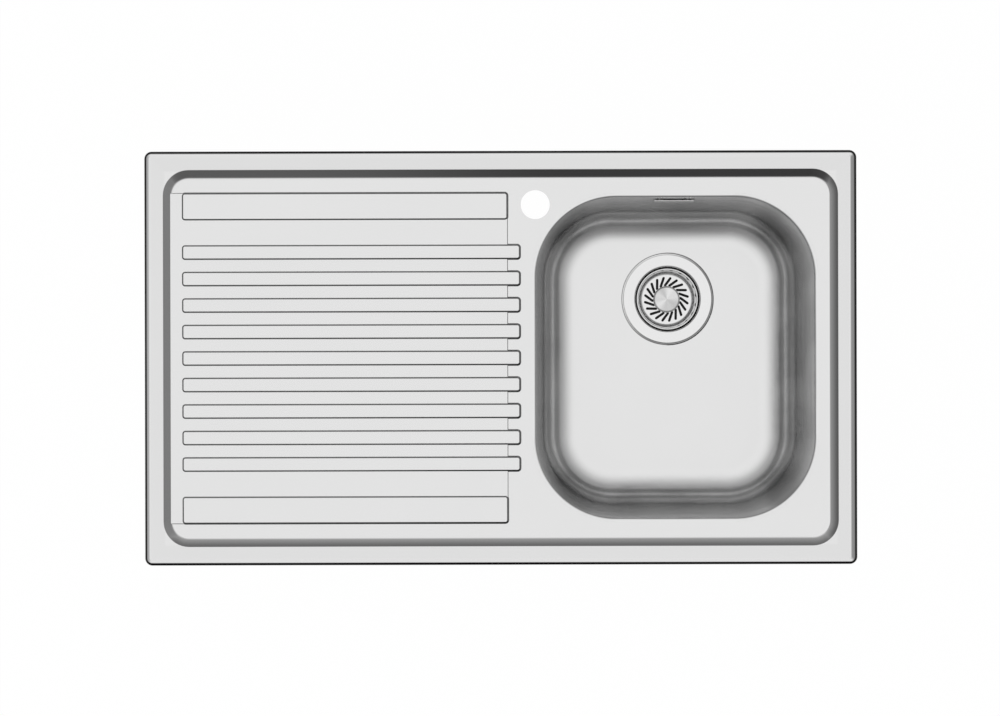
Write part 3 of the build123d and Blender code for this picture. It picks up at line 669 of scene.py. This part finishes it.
@dataclass(frozen=True, kw_only=True)
class DeckSteel(SteelFinish):
    """The pressed deck's satin steel, with a painted dark reflection along its rolled edge and painted shade
    on its slopes.

    The four edges' stops and edge_end are centimetres inwards from the edge.
    """

    half_length: float
    half_width: float
    corner: float = 0.009
    edge_end: Span = (2.6, 2.3)
    top_facing: Span = (0.10, 0.40)
    seam: float = 0.001
    corner_seam: float = 0.003
    rear_stops: Stops = ((0.0, 0.10), (0.24, 0.07), (0.40, 0.98), (1.0, 0.95))
    front_stops: Stops = ((0.0, 0.01), (0.28, 0.01), (0.38, 0.98), (1.0, 0.96))
    left_stops: Stops = ((0.0, 0.25), (0.20, 0.14), (0.32, 0.50), (0.48, 0.50), (0.64, 0.99), (1.0, 0.96))
    right_stops: Stops = ((0.0, 0.08), (0.26, 0.08), (0.40, 0.33), (0.68, 0.36), (0.84, 0.99), (1.0, 0.96))
    steep_facing: Span = (0.985, 0.93)
    side_facing: Span = (0.1, 0.38)
    bowlward_places: Span = (-0.25, 0.1)
    high_levels: Span = (0.0012, 0.0056)
    foot_levels: Span = (0.0019, 0.0013)
    front_shade: float = 0.66
    front_shade_bowlward: float = 0.19
    rear_shade: float = 0.33
    rear_shade_high: float = 0.36
    left_shade: float = 0.42
    left_shade_high: float = 0.36
    left_shade_foot: float = 0.40
    right_shade: float = 0.54

    def paint(self, graph: Graph, share: Value) -> Socket:
        """The metal's colour, with a painted reflection along the edge and painted shade on the slopes.

        Args:
            graph: The material's graph.
            share: How far marks and clouds lighten the colour.

        Returns:
            The colour's socket.
        """
        edge = graph.mix(1.0, self.edge_shade(graph), self.slope_shade(graph), "MULTIPLY")
        return graph.mix(1.0, super().paint(graph, share), edge, "MULTIPLY")

    def edge_shade(self, graph: Graph) -> Socket:
        """How dark the painted reflection makes the rim towards its rolled edge: narrow in front and behind,
        wider at the ends.

        Args:
            graph: The material's graph.

        Returns:
            The shade's socket, a grey level that multiplies the colour.
        """
        x, y, _ = graph.parts(graph.place())
        past_end = abs(x) - (self.half_length - self.corner)
        past_side = abs(y) - (self.half_width - self.corner)
        out_end, out_side = graph.math("MAXIMUM", past_end, 0.0), graph.math("MAXIMUM", past_side, 0.0)
        inside = graph.math("MINIMUM", graph.math("MAXIMUM", past_end, past_side), 0.0)
        reach = (self.corner - graph.length(out_end, out_side) - inside) * CENTIMETRES_IN_METRE
        left, right = graph.ramp(reach, self.left_stops), graph.ramp(reach, self.right_stops)
        front, rear = graph.ramp(reach, self.front_stops), graph.ramp(reach, self.rear_stops)
        ends = graph.mix(graph.ease(x, -self.seam, self.seam), left, right)
        sides = graph.mix(graph.ease(y, -self.seam, self.seam), front, rear)
        corner = graph.ease(past_end - past_side, -self.corner_seam, self.corner_seam)
        up = graph.facing()[2]
        on_top = graph.ease(up, *self.top_facing) * graph.ease(reach, *self.edge_end)
        # Painted reflection: the rolled edge is darkened on its upward faces, and the rim near it slightly.
        return graph.mix(on_top, WHITE, graph.mix(corner, sides, ends))

    def slope_shade(self, graph: Graph) -> Socket:
        """How much darker the pressed slopes are than the flats, as painted shade that depends on the way
        each faces.

        Args:
            graph: The material's graph.

        Returns:
            The shade's socket, a grey level that multiplies the colour.
        """
        across, along, up = graph.facing()
        x, _, z = graph.parts(graph.place())
        low, high = self.side_facing
        bowlward = graph.ease(x, *self.bowlward_places)
        rising = graph.ease(z, *self.high_levels)
        foot = graph.ease(z, *self.foot_levels)
        front = graph.ease(along, -low, -high) * (self.front_shade + self.front_shade_bowlward * bowlward)
        rear = graph.ease(along, low, high) * (self.rear_shade + self.rear_shade_high * rising)
        left_level = self.left_shade + self.left_shade_high * rising + self.left_shade_foot * foot
        left = graph.ease(across, -low, -high) * left_level
        right = graph.ease(across, low, high) * self.right_shade
        sides, ends = graph.math("MAXIMUM", front, rear), graph.math("MAXIMUM", left, right)
        steep = graph.ease(up, *self.steep_facing)
        # Painted shade: steep faces are darkened, by a different amount for each way they face.
        return graph.mix(steep * graph.math("MAXIMUM", sides, ends), WHITE, BLACK)


class Texture(Enum):
    """The relief of a moulded or cut soft surface: its cells to a metre and its depth in millimetres."""

    MOULDED = (2600.0, 0.02)
    RUBBER = (1500.0, 0.05)
    FOAM = (900.0, 0.35)
    WAFFLE = (900.0, 0.6)


@dataclass(frozen=True)
class MouldedFinish:
    """A plastic, rubber, foam or bitumen surface."""

    name: str
    colour: Colour
    roughness: float
    texture: Texture
    cloud_scale: float = 22.0
    cloud_detail: float = 4.0
    cloud_share: float = 0.6
    relief_share: float = 0.3
    shade: float = 0.86
    light: float = 1.06
    smoothest: float = 0.9
    roughening: float = 0.2
    waffle_pitch: float = 0.009
    waffle_levels: Span = (-0.95, -0.6)
    waffle_share: float = 0.35
    grit_share: float = 0.3

    def build(self) -> bpy.types.Material:
        """Makes the material.

        Returns:
            The finished material.
        """
        material, graph = new_graph(self.name)
        relief = self.relief(graph)
        cloud = graph.noise(graph.place(), self.cloud_scale, self.cloud_detail)
        share = self.cloud_share * cloud + self.relief_share * relief
        finish_surface(graph, {
            "Base Color": graph.mix(share, tinted(self.colour, self.shade), tinted(self.colour, self.light)),
            "Roughness": self.roughness * (self.smoothest + self.roughening * cloud),
            "Normal": graph.bump(relief, self.texture.value[1] * MILLIMETRE),
        })
        return material

    def relief(self, graph: Graph) -> Value:
        """The surface's small relief.

        Args:
            graph: The material's graph.

        Returns:
            The relief, from 0 to 1.
        """
        scale = self.texture.value[0]
        if self.texture is Texture.FOAM:
            return graph.cells(scale)
        grit = graph.noise(graph.place(), scale)
        if self.texture is Texture.WAFFLE:
            return self.waffle(graph, grit)
        return grit

    def waffle(self, graph: Graph, grit: Value) -> Value:
        """The crossed pressed lines of a bitumen sheet, with its grit.

        Args:
            graph: The material's graph.
            grit: The fine noise over the sheet.

        Returns:
            The relief, from 0 to 1.
        """
        waves_to_metre = 2 * math.pi / self.waffle_pitch
        x, y, _ = graph.parts(graph.place())
        across = graph.ease(graph.math("SINE", x * waves_to_metre), *self.waffle_levels)
        along = graph.ease(graph.math("SINE", y * waves_to_metre), *self.waffle_levels)
        return self.waffle_share * across + self.waffle_share * along + self.grit_share * grit


@dataclass
class Studio:
    """The floor, the light and the camera."""

    floor_size: float = 16.0
    floor_gap: float = 0.0005
    floor_colour: Colour = (0.9, 0.9, 0.9)
    floor_white: float = 0.985
    softbox_stops: Stops = (
        (0.0, 0.34), (0.30, 0.34), (0.45, 0.38), (0.56, 0.42),
        (0.64, 0.48), (0.77, 0.64), (0.90, 0.88), (0.97, 1.0),
    )
    rear_lift: float = 0.06
    right_drop: float = 0.02
    front_ways: Span = (-0.3, -0.85)
    front_dimming: float = 0.25
    right_ways: Span = (-0.15, 0.15)
    right_dimming: float = 0.12
    diffuse_level: float = 0.80
    lamp_size: float = 2.5
    lamp_power: float = 28.0
    lamp_place: tuple[float, float, float] = (-1.2, -1.4, 3.0)
    deck_level: float = 0.001
    camera_height: float = 3.48
    camera_x: float = -0.00097
    camera_y: float = -0.00024
    camera_roll: float = -0.0025
    camera_reach: float = 100.0
    lens: float = 103.7
    sensor: float = 36.0

    def build(self, lowest: float) -> None:
        """Makes everything round the object.

        Args:
            lowest: The object's lowest level.
        """
        self.make_floor(lowest - self.floor_gap)
        self.make_world()
        self.make_lamp()
        self.make_camera()

    def make_floor(self, level: float) -> None:
        """A plain pale floor under the object.

        Args:
            level: The floor's height.
        """
        half = self.floor_size / 2
        mesh = bpy.data.meshes.new("floor")
        shape = bmesh.new()
        plan = [(-half, -half), (half, -half), (half, half), (-half, half)]
        shape.faces.new([shape.verts.new((x, y, level)) for x, y in plan])
        shape.to_mesh(mesh)
        shape.free()
        floor = bpy.data.objects.new("floor", mesh)
        bpy.context.scene.collection.objects.link(floor)
        mesh.materials.append(self.floor_paint())
        floor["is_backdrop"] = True

    def floor_paint(self) -> bpy.types.Material:
        """Paint that shows white, keeps the object's shadow and is clear from beneath.

        Returns:
            The floor's material.
        """
        material, graph = new_graph("floor_paint")
        path = graph.add("ShaderNodeLightPath")
        camera, glossy, through = (
            graph.value(path, name) for name in ("Is Camera Ray", "Is Glossy Ray", "Is Transmission Ray"))
        shown = graph.math("MINIMUM", camera + glossy + through, 1.0)
        paint = graph.add("ShaderNodeBsdfDiffuse", inputs={"Color": self.floor_colour})
        white = graph.add("ShaderNodeEmission", inputs={"Color": WHITE})
        both = graph.add("ShaderNodeMixShader", inputs={
            0: shown * self.floor_white, 1: paint.outputs[0], 2: white.outputs[0]})
        beneath = graph.value(graph.add("ShaderNodeNewGeometry"), "Backfacing")
        clear = graph.add("ShaderNodeBsdfTransparent")
        sided = graph.add("ShaderNodeMixShader", inputs={0: beneath, 1: both.outputs[0], 2: clear.outputs[0]})
        graph.add("ShaderNodeOutputMaterial", inputs={"Surface": sided.outputs[0]})
        return material

    def make_world(self) -> None:
        """A studio that metal shows bright overhead and dim towards the horizon, and white behind it all."""
        world = bpy.data.worlds.new("studio")
        bpy.context.scene.world = world
        world.use_nodes = True
        graph = Graph(world.node_tree)
        x, y, z = graph.parts(graph.add("ShaderNodeTexCoord").outputs["Generated"])
        upward = graph.math("MAXIMUM", z + self.rear_lift * y - self.right_drop * x, 0.0)
        softbox = Value(graph, graph.ramp(upward, self.softbox_stops))
        rightward = graph.ease(x, *self.right_ways)
        dimming = graph.ease(y, *self.front_ways) * (self.front_dimming + self.right_dimming * rightward)
        path = graph.add("ShaderNodeLightPath")
        glossy, diffuse = graph.value(path, "Is Glossy Ray"), graph.value(path, "Is Diffuse Ray")
        lit = glossy * (softbox * (1.0 - dimming)) + diffuse * self.diffuse_level
        level = lit + graph.math("MAXIMUM", 1.0 - glossy - diffuse, 0.0)
        background = graph.add("ShaderNodeBackground", inputs={"Color": WHITE, "Strength": level})
        graph.add("ShaderNodeOutputWorld", inputs={"Surface": background.outputs[0]})

    def make_lamp(self) -> None:
        """One large soft lamp that gives paint, plastic and rubber their shape."""
        data = bpy.data.lights.new("soft_lamp", "AREA")
        data.shape = "DISK"
        data.size = self.lamp_size
        data.energy = self.lamp_power
        lamp = bpy.data.objects.new("soft_lamp", data)
        lamp.location = self.lamp_place
        lamp.rotation_euler = (-lamp.location).to_track_quat("-Z", "Y").to_euler()
        lamp.visible_glossy = False
        bpy.context.scene.collection.objects.link(lamp)

    def make_camera(self) -> None:
        """The camera straight above the deck, with the rear at the top of the picture."""
        data = bpy.data.cameras.new("camera")
        data.lens = self.lens
        data.sensor_width = self.sensor
        data.clip_end = self.camera_reach
        camera = bpy.data.objects.new("camera", data)
        camera.location = (self.camera_x, self.camera_y, self.deck_level + self.camera_height)
        camera.rotation_euler = (0.0, 0.0, self.camera_roll)
        bpy.context.scene.collection.objects.link(camera)
        bpy.context.scene.camera = camera
        bpy.context.scene.view_settings.view_transform = "Standard"


def folded(points: list[tuple[float, float, float]], steps: int = 6) -> Outline:
    """Rounds the corners of a closed outline.

    Args:
        points: Radius, level and fold radius of each corner, in millimetres.
        steps: How many pieces each fold has.

    Returns:
        The rounded outline as (radius, level) points in metres.
    """
    outline = []
    for i, (radius, level, fold) in enumerate(points):
        corner = Vector((radius, level))
        if fold == 0:
            outline.append((radius * MILLIMETRE, level * MILLIMETRE))
            continue
        before = (Vector(points[i - 1][:2]) - corner).normalized()
        after = (Vector(points[(i + 1) % len(points)][:2]) - corner).normalized()
        half = before.angle(after) / 2
        centre = corner + (before + after).normalized() * (fold / math.sin(half))
        start = corner + before * (fold / math.tan(half)) - centre
        sweep = start.angle_signed(corner + after * (fold / math.tan(half)) - centre)
        for step in range(steps + 1):
            turn = sweep * step / steps
            x = centre.x + start.x * math.cos(turn) + start.y * math.sin(turn)
            z = centre.y - start.x * math.sin(turn) + start.y * math.cos(turn)
            outline.append((x * MILLIMETRE, z * MILLIMETRE))
    return outline


def turned(shape: Shape, outline: Outline, axis: Place, steps: int = 192) -> None:
    """Adds a solid of revolution about an upright axis to a mesh.

    Args:
        shape: The mesh that is added to.
        outline: The closed outline as (radius, level) points; a point on the axis becomes a pole.
        axis: The axis's place in plan.
        steps: How many faces go round.
    """
    rings = []
    for radius, level in outline:
        if radius == 0:
            rings.append([shape.verts.new((*axis, level))] * steps)
            continue
        turns = [2 * math.pi * step / steps for step in range(steps)]
        rings.append([
            shape.verts.new((axis[0] + radius * math.cos(turn), axis[1] + radius * math.sin(turn), level))
            for turn in turns
        ])
    for i, lower in enumerate(rings):
        upper = rings[(i + 1) % len(rings)]
        if lower[0] is lower[1] and upper[0] is upper[1]:
            continue
        for step in range(steps):
            after = (step + 1) % steps
            corners_round = dict.fromkeys((lower[step], lower[after], upper[after], upper[step]))
            shape.faces.new(list(corners_round))


def bar(shape: Shape, start: Vector, end: Vector, width: float, low: float, high: float) -> None:
    """Adds an upright-sided bar between two points in plan to a mesh.

    Args:
        shape: The mesh that is added to.
        start: One end of its middle line.
        end: The other end.
        width: How wide it is.
        low: Its underside's level.
        high: Its top's level.
    """
    side = Vector((start.y - end.y, end.x - start.x)).normalized() * width / 2
    plan = [start + side, start - side, end - side, end + side]
    prism(shape, plan, low, high)


def prism(shape: Shape, plan: list[Vector], low: float, high: float) -> None:
    """Adds a closed upright block over an outline to a mesh.

    Args:
        shape: The mesh that is added to.
        plan: The outline's points in plan, in order round it.
        low: Its underside's level.
        high: Its top's level.
    """
    under = [shape.verts.new((point.x, point.y, low)) for point in plan]
    over = [shape.verts.new((point.x, point.y, high)) for point in plan]
    shape.faces.new(under[::-1])
    shape.faces.new(over)
    for i, vertex in enumerate(under):
        after = (i + 1) % len(under)
        shape.faces.new([vertex, under[after], over[after], over[i]])


def smoothed(mesh: bpy.types.Mesh) -> None:
    """Shades a mesh smooth but for its sharp edges."""
    mesh.shade_smooth()
    mesh.set_sharp_from_angle(angle=math.radians(SHARP_EDGE))


def finished_piece(name: str, shape: Shape) -> Piece:
    """Turns a mesh into an object of the scene.

    Args:
        name: The piece's name.
        shape: Its mesh, which is freed.

    Returns:
        The new object.
    """
    bmesh.ops.remove_doubles(shape, verts=shape.verts, dist=SAME_POINT)
    bmesh.ops.recalc_face_normals(shape, faces=shape.faces)
    mesh = bpy.data.meshes.new(name)
    shape.to_mesh(mesh)
    shape.free()
    smoothed(mesh)
    piece = bpy.data.objects.new(name, mesh)
    bpy.context.scene.collection.objects.link(piece)
    return piece


@dataclass
class Strainer:
    """The polished strainer: flange and cup, slotted basket and its knob, turned finer than the solids.

    The axis is in metres, as the frame gives it. All other lengths are millimetres. The bowl's floor is a
    level in the model's frame, and drops are measured down from it. A bite is how far a spoke runs into what
    it joins.
    """

    axis: Place
    bowl_floor: float = -159.0
    sheet: float = 1.0
    flange_radius: float = 56.0
    flange_fold: float = 0.6
    cup_radius: float = 41.0
    cup_fold: float = 2.0
    cup_drop: float = 36.0
    cup_floor_radius: float = 36.0
    cup_floor_fold: float = 4.0
    outlet_radius: float = 21.0
    outlet_fold: float = 0.4
    collar_height: float = 5.0
    spoke_count: int = 4
    spoke_width: float = 4.0
    spoke_height: float = 2.0
    hub_bite: float = 0.5
    collar_bite: float = 0.3
    hub_radius: float = 9.0
    hub_hole: float = 6.1
    hub_gap: float = 2.0
    hub_height: float = 5.0
    hub_fold: float = 0.5
    hub_hole_fold: float = 0.3
    hub_fold_steps: int = 3
    hub_steps: int = 96
    basket_rim_drop: float = 6.0
    basket_floor_drop: float = 26.0
    basket_sheet: float = 0.8
    basket_rim_radius: float = 38.9
    basket_wall_radius: float = 37.6
    basket_floor_radius: float = 34.6
    basket_rim_height: float = 1.9
    basket_rim_fold: float = 1.0
    basket_lip_fold: float = 0.2
    basket_fold: float = 5.0
    stem_hole: float = 3.05
    slot_count: int = 20
    slot_width: float = 3.2
    slot_inner: float = 17.9
    slot_outer: float = 27.2
    slot_lead: float = 16.0
    slot_phase: float = 97.4
    slot_end_steps: int = 8
    cut_below: float = 2.0
    cut_above: float = 1.2
    knob_radius: float = 16.8
    knob_foot: float = 9.0
    knob_height: float = 7.0
    knob_dome: float = 3.5
    knob_fold: float = 2.8
    knob_brim_fold: float = 0.3
    knob_foot_fold: float = 0.6

    @property
    def basket_floor(self) -> float:
        """The level of the basket's floor, on which the knob stands."""
        return self.bowl_floor - self.basket_floor_drop

    def build(self) -> list[Piece]:
        """Makes the three pieces.

        Returns:
            The strainer cup, the basket and the knob.
        """
        cup = self.make_cup()
        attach(cup, "root")
        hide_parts("strainer_cup")
        basket = self.make_basket()
        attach(basket, "basket")
        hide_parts("basket_cup")
        knob = self.make_knob()
        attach(knob, "basket")
        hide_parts("basket_knob")
        return [cup, basket, knob]

    def make_cup(self) -> Piece:
        """The flange with the cup drawn down from it, and the spider that holds the waste screw.

        Returns:
            The cup.
        """
        shape = bmesh.new()
        wall, seal, floor = self.sheet, self.bowl_floor - self.sheet, self.bowl_floor - self.cup_drop
        collar_foot = floor - self.collar_height
        turned(shape, folded([
            (self.outlet_radius, collar_foot, 0),
            (self.outlet_radius + wall, collar_foot, 0),
            (self.outlet_radius + wall, floor - wall, 0),
            (self.cup_floor_radius + wall, floor - wall, self.cup_floor_fold + wall),
            (self.cup_radius + wall, seal, 0),
            (self.flange_radius, seal, 0),
            (self.flange_radius, self.bowl_floor, self.flange_fold),
            (self.cup_radius, self.bowl_floor, self.cup_fold),
            (self.cup_floor_radius, floor, self.cup_floor_fold),
            (self.outlet_radius, floor, self.outlet_fold),
        ]), self.axis)
        self.add_spider(shape, floor - self.hub_gap, collar_foot)
        return finished_piece("strainer_cup_turned", shape)

    def add_spider(self, shape: Shape, hub_top: float, spokes_low: float) -> None:
        """Adds the hub that takes the waste screw, and the spokes that join it to the collar.

        Args:
            shape: The cup's mesh, which is added to.
            hub_top: The level of the hub's top.
            spokes_low: The level of the spokes' underside.
        """
        hub_low = hub_top - self.hub_height
        turned(shape, folded([
            (self.hub_hole, hub_low, 0),
            (self.hub_radius, hub_low, self.hub_fold),
            (self.hub_radius, hub_top, self.hub_fold),
            (self.hub_hole, hub_top, self.hub_hole_fold),
        ], self.hub_fold_steps), self.axis, self.hub_steps)
        centre, low = Vector(self.axis), spokes_low * MILLIMETRE
        for number in range(self.spoke_count):
            turn = 2 * math.pi * number / self.spoke_count
            way = Vector((math.cos(turn), math.sin(turn))) * MILLIMETRE
            start = centre + way * (self.hub_radius - self.hub_bite)
            end = centre + way * (self.outlet_radius + self.collar_bite)
            bar(shape, start, end, self.spoke_width * MILLIMETRE, low, low + self.spoke_height * MILLIMETRE)

    def make_basket(self) -> Piece:
        """The slotted basket with its rolled rim.

        Returns:
            The basket.
        """
        shape = bmesh.new()
        wall, floor, top = self.basket_sheet, self.basket_floor, self.bowl_floor - self.basket_rim_drop
        rim_foot = top - self.basket_rim_height
        turned(shape, folded([
            (self.stem_hole, floor - wall, 0),
            (self.basket_floor_radius, floor - wall, self.basket_fold),
            (self.basket_wall_radius, rim_foot, 0),
            (self.basket_rim_radius, rim_foot, self.basket_lip_fold),
            (self.basket_rim_radius, top, self.basket_rim_fold),
            (self.basket_wall_radius - wall, top, self.basket_rim_fold),
            (self.basket_floor_radius - wall, floor, self.basket_fold - wall),
            (self.stem_hole, floor, 0),
        ]), self.axis)
        basket = finished_piece("basket_cup_slotted", shape)
        cutter = self.slot_cutter()
        cut = basket.modifiers.new("slots", "BOOLEAN")
        cut.object = cutter
        cut.solver = "EXACT"
        view = bpy.context.evaluated_depsgraph_get()
        slotted = bpy.data.meshes.new_from_object(basket.evaluated_get(view))
        basket.modifiers.clear()
        basket.data = slotted
        smoothed(slotted)
        bpy.data.objects.remove(cutter)
        return basket

    def slot_cutter(self) -> Piece:
        """All the slanted slots as one cutting shape.

        Returns:
            The cutting shape.
        """
        shape = bmesh.new()
        centre = Vector(self.axis)
        low = (self.basket_floor - self.cut_below) * MILLIMETRE
        high = (self.basket_floor + self.cut_above) * MILLIMETRE
        for number in range(self.slot_count):
            turn = math.radians(self.slot_phase + number * 360.0 / self.slot_count)
            lead = turn + math.radians(self.slot_lead)
            outer = Vector((math.cos(turn), math.sin(turn))) * self.slot_outer * MILLIMETRE
            inner = Vector((math.cos(lead), math.sin(lead))) * self.slot_inner * MILLIMETRE
            prism(shape, self.slot_plan(centre + inner, centre + outer), low, high)
        return finished_piece("slot_cutter", shape)

    def slot_plan(self, inner: Vector, outer: Vector) -> list[Vector]:
        """A slot's outline with round ends.

        Args:
            inner: The middle of its inner end.
            outer: The middle of its outer end.

        Returns:
            The outline's points in order.
        """
        half = self.slot_width / 2 * MILLIMETRE
        tilt = math.atan2(outer.y - inner.y, outer.x - inner.x)
        plan = []
        for middle, start in ((outer, tilt - math.pi / 2), (inner, tilt + math.pi / 2)):
            for step in range(self.slot_end_steps + 1):
                turn = start + math.pi * step / self.slot_end_steps
                plan.append(middle + Vector((math.cos(turn), math.sin(turn))) * half)
        return plan

    def make_knob(self) -> Piece:
        """The low domed knob on its foot.

        Returns:
            The knob.
        """
        shape = bmesh.new()
        floor, top = self.basket_floor, self.basket_floor + self.knob_height
        brim, bore_top = top - self.knob_dome, top - self.knob_dome / 2
        turned(shape, folded([
            (self.stem_hole, floor, 0),
            (self.knob_foot, floor, 0),
            (self.knob_foot, brim, self.knob_foot_fold),
            (self.knob_radius, brim, self.knob_brim_fold),
            (self.knob_radius, top, self.knob_fold),
            (0.0, top, 0),
            (0.0, bore_top, 0),
            (self.stem_hole, bore_top, 0),
        ]), self.axis)
        return finished_piece("basket_knob_turned", shape)


@dataclass
class Sink:
    """The whole sink: dresses each carried-over piece in the finish of its slot."""

    frame: dict

    def dress(self) -> None:
        """Gives each piece the material of its slot, and builds the finer pieces."""
        materials = {finish.name: finish.build() for finish in self.finishes()}
        slots = {part["node"]: part["material_slot"] for part in self.frame["record"]["subparts"]}
        for name, piece in sorted(self.frame["nodes"].items()):
            self.coat(piece, materials[slots[name]])
        cup, basket, knob = Strainer(self.waste_axis()).build()
        for piece, finish in ((cup, "polished_steel"), (basket, "polished_steel"), (knob, "knob_steel")):
            self.coat(piece, materials[finish])

    def coat(self, piece: Piece, material: bpy.types.Material) -> None:
        """Gives a piece one material and reports it.

        Args:
            piece: The piece.
            material: What it is finished in.
        """
        piece.data.materials.clear()
        piece.data.materials.append(material)
        LOG.info("%s: %s", piece.name, material.name)

    def waste_axis(self) -> Place:
        """Reads where the strainer's upright axis is, which the basket turns about.

        Returns:
            The axis's place in plan.
        """
        turn = next(joint for joint in self.frame["joints"] if joint["name"] == "basket_turn")
        x, y, _ = turn["pos_m"]
        return x, y

    def finishes(self) -> tuple[SteelFinish | MouldedFinish, ...]:
        """Every finish of the sink, placed by the frame's own deck and waste axis.

        Returns:
            The finishes, each named for a slot, and the knob's.
        """
        axis = self.waste_axis()
        half_length, half_width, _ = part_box("deck_sheet")[1]
        return (
            DeckSteel(
                "deck_steel", (0.774, 0.774, 0.774), 0.21, Grain.SATIN,
                half_length=half_length, half_width=half_width),
            BowlSteel(
                "bowl_steel", (0.782, 0.782, 0.782), 0.22, Grain.DRAWN, 0.06 * MILLIMETRE, axis,
                mark_detail=4.0),
            SeatSteel("polished_steel", (0.81, 0.81, 0.81), 0.14, Grain.TURNED, 0.012 * MILLIMETRE, axis),
            KnobSteel("knob_steel", (0.82, 0.82, 0.82), 0.22, Grain.TURNED, 0.006 * MILLIMETRE, axis),
            SteelFinish("zinc_steel", (0.62, 0.64, 0.66), 0.34, Grain.PLATED, 0.02 * MILLIMETRE),
            SteelFinish("nut_brass", (0.78, 0.60, 0.30), 0.28, Grain.SATIN),
            MouldedFinish("sound_pad", (0.055, 0.055, 0.058), 0.75, Texture.WAFFLE),
            MouldedFinish("seal_rubber", (0.030, 0.030, 0.031), 0.62, Texture.RUBBER),
            MouldedFinish("gasket_foam", (0.070, 0.070, 0.072), 0.90, Texture.FOAM),
            MouldedFinish("white_plastic", (0.80, 0.80, 0.78), 0.38, Texture.MOULDED),
            MouldedFinish("hose_plastic", (0.66, 0.67, 0.68), 0.45, Texture.MOULDED),
        )


def corners(bounds: tuple) -> list[list[float]]:
    """A box's two corners as plain lists."""
    return [[float(v) for v in corner] for corner in bounds]


def main() -> None:
    """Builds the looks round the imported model."""
    logging.basicConfig(level=logging.INFO, format="%(name)s: %(message)s")
    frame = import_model()
    cad_box = corners(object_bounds())
    Sink(frame).dress()
    Studio().build(cad_box[0][2])
    LOG.info("sizes written")


if __name__ == "__main__":
    main()
